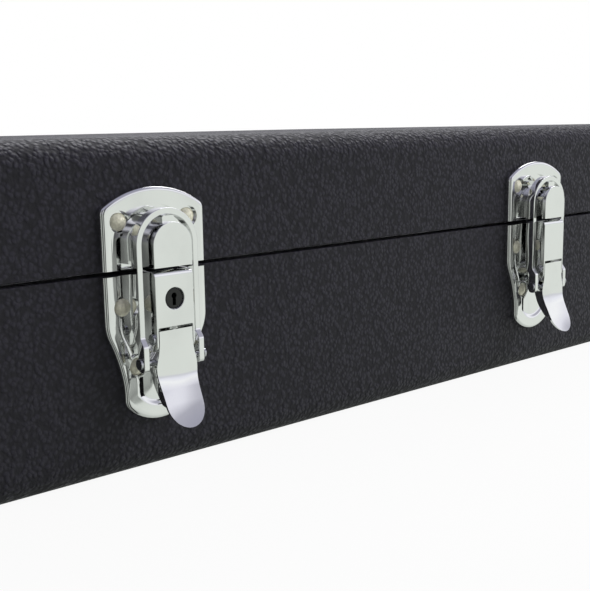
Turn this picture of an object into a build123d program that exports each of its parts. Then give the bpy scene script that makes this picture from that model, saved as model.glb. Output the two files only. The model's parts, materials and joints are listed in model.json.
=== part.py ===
from build123d import *
import os

# A rectangular hard case for an electric guitar, lying on its bottom with the lid on top.
# X runs along the case, -Y is the front with the latches and the handle, +Z is up.
# The origin is the middle of the flat bottom. All sizes are in millimetres.

# Case body
case_length = 1030.0
case_width = 350.0
base_height = 66.8
lid_height = 41.2
seam_gap = 1.2
corner_radius = 24.0
edge_radius = 9.0
cover_thickness = 1.0
cover_rim_round = 0.6
base_wall = 6.0
lid_wall = 5.4
panel_thickness = 5.0
board_gap = 0.2

# Aluminium tongue round the rim of the base
tongue_thickness = 1.2
tongue_depth = 14.0
tongue_rise = 6.0
tongue_gap = 0.3

# Plush lining and foam pads
lining_wall = 3.0
base_floor_pad = 16.0
lid_floor_pad = 14.0
lining_below_rim = 4.0
pad_gap = 0.3
pad_height = 36.0
tail_pad = 8.0
lower_bout_radius = 157.0
upper_bout_radius = 140.0
body_pocket_length = 450.0
waist_round = 45.0
neck_half_width = 60.0
neck_wall_start = 38.0
pocket_mouth_round = 20.0
neck_rest_start = 190.0
neck_rest_length = 42.0
neck_notch_radius = 34.0
neck_notch_lift = 9.0
headstock_pad_length = 32.0

# Accessory box beside the neck
box_end = 320.0
box_wall = 4.0
box_floor = 3.0

# Latches: heights are measured from the middle of the seam, outs from the cover
latch_end = 165.0
latch_pitch = 200.0
locking_latch = 2
sheet = 1.2
rim_out = 2.3
rim_round = 0.9
plate_half = 19.0
plate_seam = 0.9
plate_corner = 0.8
keeper_top = 26.0
keeper_shoulder = 19.6
keeper_recess_half = 14.2
keeper_recess_top = 10.0
keeper_recess_radius = 12.0
plate_kink = 18.5
plate_kink_slope = 0.55
plate_waist_half = 15.3
plate_waist = 26.4
plate_foot_half = 13.1
plate_foot_start = 38.5
plate_foot_end = 42.3
plate_bottom = 48.8
pan_inset = 4.4
boss_radius = 4.1
boss_height = 0.6
plate_slot_half = 6.8
plate_slot_width = 1.6
plate_slot_length = 6.5
plate_slot_height = 37.2

# Hump on the keeper that the bail pulls on
hump_half = 7.1
hump_centre = 8.4
hump_bottom = 1.7
hump_out = 12.0
hump_round = 1.2
hump_sheet = 0.9
hook_width = 4.4
hook_back = 3.0
hook_out = 9.9
hook_gap = 0.35

# Housing that holds the lever
housing_top = 0.5
housing_bottom = 17.0
housing_sheet = 0.8
housing_round = 0.8
ear_bottom = 24.5
ear_foot_out = 5.0
ear_round = 2.2
bevel_height = 2.0
bevel_depth = 0.9

# Lever and its pivot
lever_top = 17.9
lever_sheet = 1.0
lever_top_half = 6.15
lever_bend = 33.0
lever_bend_radius = 6.0
lever_tip_out = 20.0
lever_tip_height = 49.0
lever_waist = 23.4
lever_shoulder = 29.4
lever_shoulder_half = 7.7
lever_neck = 34.6
lever_neck_half = 6.95
lever_tip_half = 6.7
lever_tip_start = 41.2
lever_tip_end = 47.8
lever_flange = 0.9
lever_flange_back = 7.4
lever_flange_step = 28.5
lever_flange_foot = 5.6
lever_flange_foot_start = 31.5
lever_flange_foot_end = 40.2
lever_flange_end = 41.4
lever_flange_out = 15.4
pivot_out = 9.8
pivot_height = 20.6
pivot_radius = 1.0
running_gap = 0.05
pin_head_radius = 1.7
pin_head = 0.7

# Bail: a U of flat strip, stepped outwards near its ends
bail_inner_half = 9.3
bail_strip = 2.0
bail_back = 5.5
bail_depth = 3.6
bail_step = 1.8
bail_step_start = 19.7
bail_step_end = 22.6
bail_end = 30.6
bail_pin_gap = 0.2
pin_tail = 0.6
bail_pin_out = 9.1
bail_pin_height = 27.8
bail_pin_radius = 1.0

# Lock in one of the housings
plug_radius = 3.3
plug_height = 8.2
plug_recess = 0.4
plug_back = 4.0
plug_sleeve = 0.9
keyway_width = 1.3
keyway_length = 4.4
keyway_depth = 5.0
keyway_bulge = 0.95
cam_width = 3.2
cam_reach = 5.8
cam_thickness = 0.8

# Rivets
rivet_radius = 1.5
rivet_head_radius = 2.8
rivet_head = 1.7
rivet_gap = 0.05
rivet_end = 0.5
rivet_dimple_radius = 3.6
keeper_rivets = ((-12.6, 15.7), (12.6, 15.7))
plate_rivets = ((-12.4, -10.9), (12.4, -10.9), (-8.2, -30.4), (8.2, -30.4))

# Hinges on the back wall, the outer ones across from the outer latches
hinge_width = 48.0
hinge_sheet = 1.4
hinge_leaf = 25.0
hinge_corner = 3.0
hinge_knuckle_radius = 3.0
hinge_axis_out = 3.4
hinge_pin_radius = 1.3
hinge_knuckles = 5
hinge_knuckle_gap = 0.2
hinge_relief = 0.4
hinge_rivets = (-17.0, 0.0, 17.0)
hinge_rivet_height = 17.0

# Feet on the back wall, the inner ones midway between the hinges
foot_end = 75.0
foot_height = -18.0
foot_base_radius = 12.0
foot_top_radius = 10.0
foot_length = 13.0
foot_round = 1.5
foot_screw_radius = 2.0
foot_screw_head_radius = 4.0
foot_screw_head = 2.2
foot_screw_seat = 5.0
foot_screw_recess_radius = 4.6

# Handle
mount_place = 62.0
mount_width = 22.0
mount_length = 38.0
mount_sheet = 1.6
mount_corner = 4.0
mount_rivet_spread = 13.0
lug_width = 11.0
lug_radius = 4.2
handle_pivot_out = 7.5
handle_pivot_height = 24.0
handle_wire_radius = 2.0
handle_wire_bend = 5.0
handle_outer = 74.0
handle_drop = 25.0
handle_tilt = 9.0
handle_bore_depth = 14.0
wire_tail = 1.5
grip_half_length = 60.0
grip_height = 23.0
grip_depth = 17.0
grip_end_height = 16.0
grip_end_depth = 13.0
grip_round_share = 0.45
grip_sections = (0.0, 0.35, 0.7, 1.0)

# Worked out from the sizes above
total_height = base_height + lid_height
latch_outer = case_length / 2 - latch_end
latch_inner = latch_outer - latch_pitch
latch_places = (-latch_outer, -latch_inner, latch_inner, latch_outer)
hinge_places = (-latch_outer, 0.0, latch_outer)
foot_outer = case_length / 2 - foot_end
foot_places = (-foot_outer, -latch_outer / 2, latch_outer / 2, foot_outer)
base_top = base_height - seam_gap / 2
lid_bottom = base_height + seam_gap / 2
base_inset = cover_thickness + base_wall
lid_inset = cover_thickness + lid_wall
lining_inset = base_inset + lining_wall
base_floor = cover_thickness + panel_thickness
pad_floor = base_floor + base_floor_pad
pad_top = pad_floor + pad_height
lid_ceiling = total_height - cover_thickness - panel_thickness
lining_top = base_height - lining_below_rim
tongue_bottom = base_height - tongue_depth
tongue_top = base_height + tongue_rise
pad_inset = lining_inset + pad_gap
interior_half_x = case_length / 2 - pad_inset
interior_half_y = case_width / 2 - pad_inset
interior_corner = corner_radius - pad_inset
side_pad_end = interior_half_x - headstock_pad_length - pad_gap

# Planes on the walls: x to the right as seen from outside, y up, outwards along the normal
front_wall = Plane(origin=(0, -case_width / 2, base_height), x_dir=(1, 0, 0), z_dir=(0, -1, 0))
back_wall = Plane(origin=(0, case_width / 2, base_height), x_dir=(-1, 0, 0), z_dir=(0, 1, 0))
# Planes square to the walls: x outwards, y up
front_side = Plane(origin=(0, -case_width / 2, base_height), x_dir=(0, -1, 0), z_dir=(-1, 0, 0))
back_side = Plane(origin=(0, case_width / 2, base_height), x_dir=(0, 1, 0), z_dir=(1, 0, 0))

os.makedirs("parts", exist_ok=True)


def save(shape, name):
    """Labels a finished piece and writes it."""
    shape.label = name
    export_step(shape, f"parts/{name}.step")


def slab(inset, bottom, top):
    """A slab with the case's rounded plan, inset from its outside."""
    with BuildPart() as part:
        with BuildSketch(Plane.XY.offset(bottom)):
            RectangleRounded(
                case_length - 2 * inset, case_width - 2 * inset, corner_radius - inset
            )
        extrude(amount=top - bottom)
    return part.part


def tray(inset, floor, rim, edge):
    """A slab whose edges on the floor side are rounded. The floor may be above the rim, as in a lid."""
    with BuildPart() as part:
        add(slab(inset, min(floor, rim), max(floor, rim)))
        flat = part.faces().sort_by(Axis.Z)[0 if floor < rim else -1]
        fillet(flat.edges(), edge)
    return part.part


def boards(outer, inner, bottom, top):
    """A frame of four boards whose bent ends meet in the middles of the case's corners."""
    corner_x = case_length / 2 - corner_radius
    corner_y = case_width / 2 - corner_radius
    with BuildPart() as part:
        add(slab(outer, bottom, top))
        add(slab(inner, bottom - 1, top + 1), mode=Mode.SUBTRACT)
        with BuildSketch(Plane.XY.offset(bottom - 1)):
            for side_x in (-1, 1):
                for side_y in (-1, 1):
                    turn = side_x * side_y * 45
                    with Locations(Location((side_x * corner_x, side_y * corner_y, 0), (0, 0, turn))):
                        Rectangle(2 * corner_radius, board_gap)
        extrude(amount=top - bottom + 2, mode=Mode.SUBTRACT)
    return part.part


# Rivet places on each wall, as (x, height) on that wall's plane
latch_lid_rivets = [(x + dx, dz) for x in latch_places for dx, dz in keeper_rivets]
latch_base_rivets = [(x + dx, dz) for x in latch_places for dx, dz in plate_rivets]
hinge_lid_rivets = [(x + dx, hinge_rivet_height) for x in hinge_places for dx in hinge_rivets]
hinge_base_rivets = [(x + dx, -hinge_rivet_height) for x in hinge_places for dx in hinge_rivets]
handle_rivet_places = [
    (side * mount_place, -handle_pivot_height + dz)
    for side in (-1, 1)
    for dz in (-mount_rivet_spread, mount_rivet_spread)
]
foot_holes = [(x, foot_height) for x in foot_places]


def wall_holes(plane, places, radius):
    """The drills that go through a wall at these places."""
    with BuildPart() as drills:
        with BuildSketch(plane.offset(1)):
            with Locations(*places):
                Circle(radius)
        extrude(amount=-(base_inset + 2))
    return drills.part


rivet_hole = rivet_radius + rivet_gap
screw_hole = foot_screw_radius + rivet_gap
base_drills = [
    wall_holes(front_wall, latch_base_rivets + handle_rivet_places, rivet_hole),
    wall_holes(back_wall, hinge_base_rivets, rivet_hole),
    wall_holes(back_wall, foot_holes, screw_hole),
]
lid_drills = [
    wall_holes(front_wall, latch_lid_rivets, rivet_hole),
    wall_holes(back_wall, hinge_lid_rivets, rivet_hole),
]

# Base: vinyl cover, plywood panel and frame, tongue, lining
with BuildPart() as base_covering:
    add(tray(0, 0, base_top, edge_radius))
    fillet(base_covering.faces().sort_by(Axis.Z)[-1].edges(), cover_rim_round)
    inside = tray(cover_thickness, cover_thickness, base_top + 1, edge_radius - cover_thickness)
    add(inside, mode=Mode.SUBTRACT)
    add(base_drills, mode=Mode.SUBTRACT)
save(base_covering.part, "base_covering")

base_wood = tray(cover_thickness, cover_thickness, base_top, edge_radius - cover_thickness)
with BuildPart() as base_panel:
    add(base_wood)
    add(slab(0, base_floor, total_height), mode=Mode.SUBTRACT)
save(base_panel.part, "base_panel")

with BuildPart() as base_frame:
    add(base_wood)
    add(boards(cover_thickness, base_inset, base_floor, base_top), mode=Mode.INTERSECT)
    add(base_drills, mode=Mode.SUBTRACT)
save(base_frame.part, "base_frame")

with BuildPart() as base_tongue:
    add(slab(base_inset, tongue_bottom, tongue_top))
    add(slab(base_inset + tongue_thickness, tongue_bottom - 1, tongue_top + 1), mode=Mode.SUBTRACT)
save(base_tongue.part, "base_tongue")

with BuildPart() as base_lining:
    add(slab(base_inset, base_floor, lining_top))
    add(slab(lining_inset, pad_floor, lining_top + 1), mode=Mode.SUBTRACT)
    add(base_tongue.part, mode=Mode.SUBTRACT)
save(base_lining.part, "base_lining")

# Lid: vinyl cover, plywood panel and frame, linings of the panel and of the frame
with BuildPart() as lid_covering:
    add(tray(0, total_height, lid_bottom, edge_radius))
    fillet(lid_covering.faces().sort_by(Axis.Z)[0].edges(), cover_rim_round)
    roof = total_height - cover_thickness
    add(tray(cover_thickness, roof, lid_bottom - 1, edge_radius - cover_thickness), mode=Mode.SUBTRACT)
    add(lid_drills, mode=Mode.SUBTRACT)
save(lid_covering.part, "lid_covering")

lid_wood = tray(cover_thickness, roof, lid_bottom, edge_radius - cover_thickness)
with BuildPart() as lid_panel:
    add(lid_wood)
    add(slab(0, 0, lid_ceiling), mode=Mode.SUBTRACT)
save(lid_panel.part, "lid_panel")

with BuildPart() as lid_frame:
    add(lid_wood)
    add(boards(cover_thickness, lid_inset, lid_bottom, lid_ceiling), mode=Mode.INTERSECT)
    add(lid_drills, mode=Mode.SUBTRACT)
save(lid_frame.part, "lid_frame")

lid_pad_bottom = lid_ceiling - lid_floor_pad
save(slab(lid_inset, lid_pad_bottom, lid_ceiling), "lid_lining")
lid_side_lining = boards(
    lid_inset, lid_inset + lining_wall, tongue_top + tongue_gap, lid_pad_bottom
)
save(lid_side_lining, "lid_side_lining")

# Foam pads in the base: the two halves of the body pocket, then those beside and past the neck
lower_bout_centre = -interior_half_x + tail_pad + lower_bout_radius
upper_bout_centre = -interior_half_x + tail_pad + body_pocket_length - upper_bout_radius


def bout_pad(side):
    """Half of the body pocket's foam, on the -Y or the +Y side."""
    with BuildPart() as pad:
        with BuildSketch(Plane.XY.offset(pad_floor)):
            RectangleRounded(2 * interior_half_x, 2 * interior_half_y, interior_corner)
            keep = 2 * interior_half_x
            with Locations(((neck_wall_start - keep) / 2 - keep / 2, 0)):
                Rectangle(keep, 2 * interior_half_y)
            with Locations((neck_wall_start + keep / 2, 0)):
                Rectangle(keep, 2 * case_width, mode=Mode.SUBTRACT)
            RectangleRounded(
                2 * interior_half_x, 2 * interior_half_y, interior_corner, mode=Mode.INTERSECT
            )
            with Locations((0, -side * interior_half_y)):
                Rectangle(2 * case_length, 2 * interior_half_y, mode=Mode.SUBTRACT)
            with BuildSketch(mode=Mode.SUBTRACT) as pocket:
                with Locations((lower_bout_centre, 0)):
                    Circle(lower_bout_radius)
                with Locations((upper_bout_centre, 0)):
                    Circle(upper_bout_radius)
                fillet(pocket.vertices(), waist_round)
                mouth = neck_wall_start - upper_bout_centre
                with Locations((upper_bout_centre + mouth / 2, 0)):
                    Rectangle(mouth, 2 * neck_half_width)
        extrude(amount=pad_height)
    return pad.part


save(bout_pad(-1), "bout_pad_front")
save(bout_pad(1), "bout_pad_rear")

with BuildPart() as neck_side_pad:
    with BuildSketch(Plane.XY.offset(pad_floor)):
        start = neck_wall_start + pad_gap
        near = neck_half_width + pad_gap
        with Locations(((start + side_pad_end) / 2, (near + interior_half_y) / 2)):
            Rectangle(side_pad_end - start, interior_half_y - near)
    extrude(amount=pad_height)
save(neck_side_pad.part, "neck_side_pad")

with BuildPart() as neck_rest:
    with BuildSketch(Plane.YZ.offset(neck_rest_start)):
        with Locations((0, pad_floor + pad_height / 2)):
            Rectangle(2 * neck_half_width, pad_height)
        with Locations((0, pad_top + neck_notch_lift)):
            Circle(neck_notch_radius, mode=Mode.SUBTRACT)
    extrude(amount=neck_rest_length)
save(neck_rest.part, "neck_rest")

with BuildPart() as headstock_pad:
    with BuildSketch(Plane.XY.offset(pad_floor)):
        RectangleRounded(2 * interior_half_x, 2 * interior_half_y, interior_corner)
        with Locations((-headstock_pad_length, 0)):
            Rectangle(2 * interior_half_x, 2 * interior_half_y, mode=Mode.SUBTRACT)
    extrude(amount=pad_height)
save(headstock_pad.part, "headstock_pad")

# Accessory box
box_start = neck_wall_start + pad_gap
box_near = -neck_half_width - pad_gap
box_length = box_end - box_start
box_depth = interior_half_y + box_near
box_middle = ((box_start + box_end) / 2, -(interior_half_y - box_near) / 2)

with BuildPart() as accessory_box:
    with BuildSketch(Plane.XY.offset(pad_floor)):
        with Locations(box_middle):
            Rectangle(box_length, box_depth)
    extrude(amount=pad_height)
    with BuildSketch(Plane.XY.offset(pad_floor + box_floor)):
        with Locations(box_middle):
            Rectangle(box_length - 2 * box_wall, box_depth - 2 * box_wall)
    extrude(amount=pad_height, mode=Mode.SUBTRACT)
save(accessory_box.part, "accessory_box")


# Latch keeper: the arched plate and hump on the lid
with BuildPart() as keeper:
    with BuildSketch(front_wall) as outline:
        with BuildLine():
            Polyline(
                (-plate_half, keeper_shoulder),
                (-plate_half, plate_seam),
                (plate_half, plate_seam),
                (plate_half, keeper_shoulder),
            )
            ThreePointArc(
                (plate_half, keeper_shoulder), (0, keeper_top), (-plate_half, keeper_shoulder)
            )
        make_face()
        fillet(outline.vertices(), plate_corner)
    extrude(amount=rim_out)
    fillet(keeper.faces().sort_by(Axis.Y)[0].edges(), rim_round)
    with BuildSketch(front_wall.offset(sheet)):
        with Locations((0, hump_centre)):
            Circle(keeper_recess_radius)
        with Locations((0, keeper_recess_top / 2)):
            Rectangle(2 * keeper_recess_half, keeper_recess_top)
    extrude(amount=rim_out, mode=Mode.SUBTRACT)
    with BuildSketch(front_wall):
        with Locations((0, hump_centre)):
            Circle(hump_half)
        with Locations((0, (hump_centre + hump_bottom) / 2)):
            Rectangle(2 * hump_half, hump_centre - hump_bottom)
    extrude(amount=hump_out)
    crown = keeper.faces().sort_by(Axis.Y)[0].edges().sort_by(Axis.Z)
    fillet(crown[1:], hump_round)
    with BuildSketch(front_wall):
        with Locations((0, hump_centre)):
            Circle(hump_half - hump_sheet)
        with Locations((0, hump_centre / 2)):
            Rectangle(2 * (hump_half - hump_sheet), hump_centre)
    extrude(amount=hump_out - hump_sheet, mode=Mode.SUBTRACT)
    hook_root = hump_centre + hump_half - hump_sheet / 2
    hook_top = hump_centre + bail_inner_half - hook_gap
    with BuildSketch(front_wall.offset(hook_back)):
        with Locations((0, (hook_root + hook_top) / 2)):
            Rectangle(hook_width, hook_top - hook_root)
    extrude(amount=hook_out - hook_back)
    with BuildSketch(front_wall.offset(sheet)):
        with Locations(*keeper_rivets):
            Circle(rivet_dimple_radius)
    extrude(amount=rim_out, mode=Mode.SUBTRACT)
    with BuildSketch(front_wall):
        with Locations(*keeper_rivets):
            Circle(rivet_hole)
    extrude(amount=rim_out, mode=Mode.SUBTRACT)


def plate_outline(inset, top):
    """The latch plate's outline up to a height, taken in all round its foot."""
    with BuildSketch(front_wall) as sketch:
        with BuildLine():
            Line((inset - plate_half, top), (plate_half - inset, top))
            for side in (-1, 1):
                Line(
                    (side * (plate_half - inset), top), (side * (plate_half - inset), -plate_kink)
                )
                Spline(
                    (side * (plate_half - inset), -plate_kink),
                    (side * (plate_waist_half - inset), -plate_waist),
                    (side * (plate_foot_half - inset), -plate_foot_start),
                    tangents=((-side * plate_kink_slope, -1), (0, -1)),
                )
                Line(
                    (side * (plate_foot_half - inset), -plate_foot_start),
                    (side * (plate_foot_half - inset), -plate_foot_end),
                )
            ThreePointArc(
                (inset - plate_foot_half, -plate_foot_end),
                (0, inset - plate_bottom),
                (plate_foot_half - inset, -plate_foot_end),
            )
        make_face()
    return sketch.sketch


# Latch plate on the base: it narrows to a rounded foot, with a sunk pan that follows its outline
with BuildPart() as plate:
    extrude(plate_outline(0, -plate_seam), amount=rim_out)
    fillet(plate.faces().sort_by(Axis.Y)[0].edges(), rim_round)
    pan = plate_outline(pan_inset, 0).moved(Location((0, -sheet, 0)))
    extrude(pan, amount=rim_out, mode=Mode.SUBTRACT)
    with BuildSketch(front_wall.offset(sheet)):
        with Locations(*plate_rivets[2:]):
            Circle(boss_radius)
    extrude(amount=boss_height)
    with BuildSketch(front_wall.offset(sheet)):
        with Locations(*plate_rivets):
            Circle(rivet_dimple_radius)
    extrude(amount=rim_out, mode=Mode.SUBTRACT)
    with BuildSketch(front_wall):
        for side in (-1, 1):
            with Locations((side * plate_slot_half, -plate_slot_height)):
                Rectangle(plate_slot_width, plate_slot_length)
        with Locations(*plate_rivets):
            Circle(rivet_hole)
    extrude(amount=rim_out, mode=Mode.SUBTRACT)

# Housing: a channel that stands on the plate, with ears that carry the lever's pivot
with BuildPart() as housing:
    with BuildSketch(front_side) as side_view:
        with BuildLine():
            Polyline(
                (rim_out, housing_top),
                (hump_out, housing_top),
                (hump_out, -ear_bottom),
                (ear_foot_out, -ear_bottom),
                (rim_out, -housing_bottom),
                close=True,
            )
        make_face()
        fillet(side_view.vertices().group_by(Axis.Y)[0], ear_round)
    extrude(amount=hump_half, both=True)
    front_top = housing.edges().filter_by(Axis.X).group_by(Axis.Z)[-1].sort_by(Axis.Y)[0]
    chamfer(front_top, bevel_height, bevel_depth, reference=housing.faces().sort_by(Axis.Y)[0])
    fillet(housing.edges().filter_by(Axis.Z).group_by(Axis.Y)[0], housing_round)
    with BuildSketch(front_wall):
        with Locations((0, housing_top - bevel_height)):
            Rectangle(
                2 * (hump_half - housing_sheet), 2 * ear_bottom, align=(Align.CENTER, Align.MAX)
            )
    extrude(amount=hump_out - housing_sheet, mode=Mode.SUBTRACT)
    with BuildSketch(front_wall):
        with Locations((0, -housing_bottom)):
            Rectangle(
                2 * (hump_half - housing_sheet), ear_bottom, align=(Align.CENTER, Align.MAX)
            )
    extrude(amount=2 * hump_out, mode=Mode.SUBTRACT)
    with BuildSketch(front_side):
        with Locations((pivot_out, -pivot_height)):
            Circle(pivot_radius)
    extrude(amount=hump_half, both=True, mode=Mode.SUBTRACT)

# The locking latch has a hole for the plug in its housing
with BuildPart() as locking_housing:
    add(housing.part)
    with BuildSketch(front_wall):
        with Locations((0, -plug_height)):
            Circle(plug_radius + running_gap)
    extrude(amount=2 * hump_out, mode=Mode.SUBTRACT)

with BuildPart() as lock_sleeve:
    with BuildSketch(front_wall.offset(plug_back + cam_thickness)):
        with Locations((0, -plug_height)):
            Circle(plug_radius + running_gap + plug_sleeve)
            Circle(plug_radius + running_gap, mode=Mode.SUBTRACT)
    extrude(amount=hump_out - housing_sheet - plug_back - cam_thickness)

with BuildPart() as key_plug:
    with BuildSketch(front_wall.offset(plug_back)):
        with Locations((0, -plug_height)):
            Circle(plug_radius)
    extrude(amount=hump_out - plug_recess - plug_back)
    with BuildSketch(front_wall.offset(hump_out - plug_recess)):
        with Locations((0, -plug_height + keyway_length / 2 - keyway_bulge)):
            Circle(keyway_bulge)
        with Locations((0, -plug_height)):
            Rectangle(keyway_width, keyway_length)
    extrude(amount=-keyway_depth, mode=Mode.SUBTRACT)

with BuildPart() as key_cam:
    with BuildSketch(front_wall.offset(plug_back - cam_thickness)):
        with Locations((0, -plug_height)):
            Circle(plug_radius)
            Rectangle(cam_width, cam_reach, align=(Align.CENTER, Align.MIN))
    extrude(amount=cam_thickness)


def lever_outline(inset):
    """The lever's front outline, taken in at its sides."""
    top = -lever_top + 2 * inset
    with BuildSketch(front_wall) as sketch:
        with BuildLine():
            Line((-lever_top_half + inset, top), (lever_top_half - inset, top))
            for side in (-1, 1):
                Line(
                    (side * (lever_top_half - inset), top),
                    (side * (lever_top_half - inset), -lever_waist),
                )
                Spline(
                    (side * (lever_top_half - inset), -lever_waist),
                    (side * (lever_shoulder_half - inset), -lever_shoulder),
                    (side * (lever_neck_half - inset), -lever_neck),
                    (side * (lever_tip_half - inset), -lever_tip_start),
                    tangents=((0, -1), (0, -1)),
                )
            ThreePointArc(
                (-lever_tip_half + inset, -lever_tip_start),
                (0, -lever_tip_end),
                (lever_tip_half - inset, -lever_tip_start),
            )
        make_face()
    return sketch.sketch


# Lever: flanges folded back from a plate that bends outwards to a spoon
with BuildPart() as lever_flanges:
    with BuildSketch(front_side):
        with BuildLine():
            Polyline(
                (lever_flange_back, -lever_top),
                (hump_out - lever_sheet / 2, -lever_top),
                (hump_out - lever_sheet / 2, -lever_bend),
                (lever_flange_out, -lever_flange_end),
                (lever_flange_foot, -lever_flange_foot_end),
                (lever_flange_foot, -lever_flange_foot_start),
                (lever_flange_back, -lever_flange_step),
                close=True,
            )
        make_face()
    extrude(amount=lever_shoulder_half, both=True)
    extrude(lever_outline(0), amount=2 * lever_tip_out, mode=Mode.INTERSECT)
    extrude(lever_outline(lever_flange), amount=2 * lever_tip_out, mode=Mode.SUBTRACT)

with BuildPart() as lever:
    with BuildSketch(front_side):
        with BuildLine():
            FilletPolyline(
                (hump_out - lever_sheet / 2, -lever_top),
                (hump_out - lever_sheet / 2, -lever_bend),
                (lever_tip_out - lever_sheet / 2, -lever_tip_height),
                radius=lever_bend_radius,
            )
        trace(line_width=lever_sheet)
    extrude(amount=lever_shoulder_half, both=True)
    extrude(lever_outline(0), amount=2 * lever_tip_out, mode=Mode.INTERSECT)
    add(lever_flanges.part)
    with BuildSketch(front_side):
        with Locations((pivot_out, -pivot_height)):
            Circle(pivot_radius + running_gap)
        with Locations((bail_pin_out, -bail_pin_height)):
            Circle(bail_pin_radius + running_gap)
    extrude(amount=lever_shoulder_half, both=True, mode=Mode.SUBTRACT)

# Lever pivot: a plain pin with flat heads outside the ears
with BuildPart() as pivot:
    with BuildSketch(front_side):
        with Locations((pivot_out, -pivot_height)):
            Circle(pivot_radius)
    extrude(amount=hump_half, both=True)
    for side in (-1, 1):
        with BuildSketch(front_side.offset(side * hump_half)):
            with Locations((pivot_out, -pivot_height)):
                Circle(pin_head_radius)
        extrude(amount=side * pin_head)

# Bail: a U of strip that steps outwards below the housing
with BuildPart() as bail:
    with BuildSketch(front_side) as side_view:
        with BuildLine():
            Polyline(
                (bail_back, 2 * hump_centre + bail_inner_half),
                (bail_back + bail_depth, 2 * hump_centre + bail_inner_half),
                (bail_back + bail_depth, -bail_step_start),
                (bail_back + bail_depth + bail_step, -bail_step_end),
                (bail_back + bail_depth + bail_step, -bail_end),
                (bail_back + bail_step, -bail_end),
                (bail_back + bail_step, -bail_step_end),
                (bail_back, -bail_step_start),
                close=True,
            )
        make_face()
        fillet(side_view.vertices().group_by(Axis.Y)[0], bail_depth / 2 - running_gap)
    extrude(amount=bail_inner_half + bail_strip, both=True)
    with BuildSketch(front_wall):
        with Locations((0, hump_centre)):
            Circle(bail_inner_half + bail_strip)
        with Locations((0, hump_centre)):
            Rectangle(
                2 * (bail_inner_half + bail_strip),
                hump_centre + 2 * bail_end,
                align=(Align.CENTER, Align.MAX),
            )
        with Locations((0, hump_centre)):
            Circle(bail_inner_half, mode=Mode.SUBTRACT)
        with Locations((0, hump_centre)):
            Rectangle(
                2 * bail_inner_half,
                hump_centre + 2 * bail_end,
                align=(Align.CENTER, Align.MAX),
                mode=Mode.SUBTRACT,
            )
    extrude(amount=2 * hump_out, mode=Mode.INTERSECT)
    with BuildSketch(front_side):
        with Locations((bail_pin_out, -bail_pin_height)):
            Circle(bail_pin_radius + running_gap)
    extrude(amount=2 * bail_inner_half, both=True, mode=Mode.SUBTRACT)

# The two short pins that join the bail to the lever
with BuildPart() as bail_pins:
    pin_start = lever_top_half - lever_flange - pin_tail
    pin_end = bail_inner_half + bail_strip + bail_pin_gap
    for side in (-1, 1):
        with BuildSketch(front_side.offset(side * pin_start)):
            with Locations((bail_pin_out, -bail_pin_height)):
                Circle(bail_pin_radius)
        extrude(amount=side * (pin_end - pin_start))
        with BuildSketch(front_side.offset(side * pin_end)):
            with Locations((bail_pin_out, -bail_pin_height)):
                Circle(pin_head_radius)
        extrude(amount=side * pin_head)

for number, x in enumerate(latch_places, start=1):
    place = Location((x, 0, 0))
    locking = number - 1 == locking_latch
    save(keeper.part.moved(place), f"latch_{number}_keeper")
    save(plate.part.moved(place), f"latch_{number}_plate")
    save((locking_housing if locking else housing).part.moved(place), f"latch_{number}_housing")
    save(lever.part.moved(place), f"latch_{number}_lever")
    save(bail.part.moved(place), f"latch_{number}_bail")
    save(bail_pins.part.moved(place), f"latch_{number}_bail_pins")

lock_place = Location((latch_places[locking_latch], 0, 0))
save(lock_sleeve.part.moved(lock_place), "lock_sleeve")
save(key_plug.part.moved(lock_place), "key_plug")
save(key_cam.part.moved(lock_place), "key_cam")

with BuildPart() as lever_pivots:
    for x in latch_places:
        add(pivot.part.moved(Location((x, 0, 0))))
save(lever_pivots.part, "lever_pivots")


def rivets(plane, places, lift, depth, shank, head_radius, head):
    """Dome-headed rivets seated at a height above the plane, with their shanks in the wall."""
    with BuildPart() as rivet:
        with BuildSketch(Plane.XZ):
            with BuildLine():
                bulge = (head_radius * head_radius + head * head) / (2 * head)
                Polyline((0, head), (0, -depth - lift), (shank, -depth - lift), (shank, 0))
                Line((shank, 0), (head_radius, 0))
                RadiusArc((head_radius, 0), (0, head), -bulge)
            make_face()
        revolve(axis=Axis.Z)
    with BuildPart() as group:
        for x, height in places:
            add(rivet.part.moved(plane.offset(lift).location * Location((x, height, 0))))
    return group.part


rivet_sizes = (rivet_radius, rivet_head_radius, rivet_head)
lid_depth = lid_inset - rivet_end
base_depth = base_inset - rivet_end
save(rivets(front_wall, latch_lid_rivets, sheet, lid_depth, *rivet_sizes), "rivets_latch_lid")
save(rivets(front_wall, latch_base_rivets, sheet, base_depth, *rivet_sizes), "rivets_latch_base")
save(
    rivets(back_wall, hinge_lid_rivets, hinge_sheet, lid_depth, *rivet_sizes), "rivets_hinge_lid"
)
save(
    rivets(back_wall, hinge_base_rivets, hinge_sheet, base_depth, *rivet_sizes),
    "rivets_hinge_base",
)
save(
    rivets(front_wall, handle_rivet_places, mount_sheet, base_depth, *rivet_sizes),
    "rivets_handle",
)

# Hinges: leaves with interleaved knuckles on one pin
knuckle = hinge_width / hinge_knuckles


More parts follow.
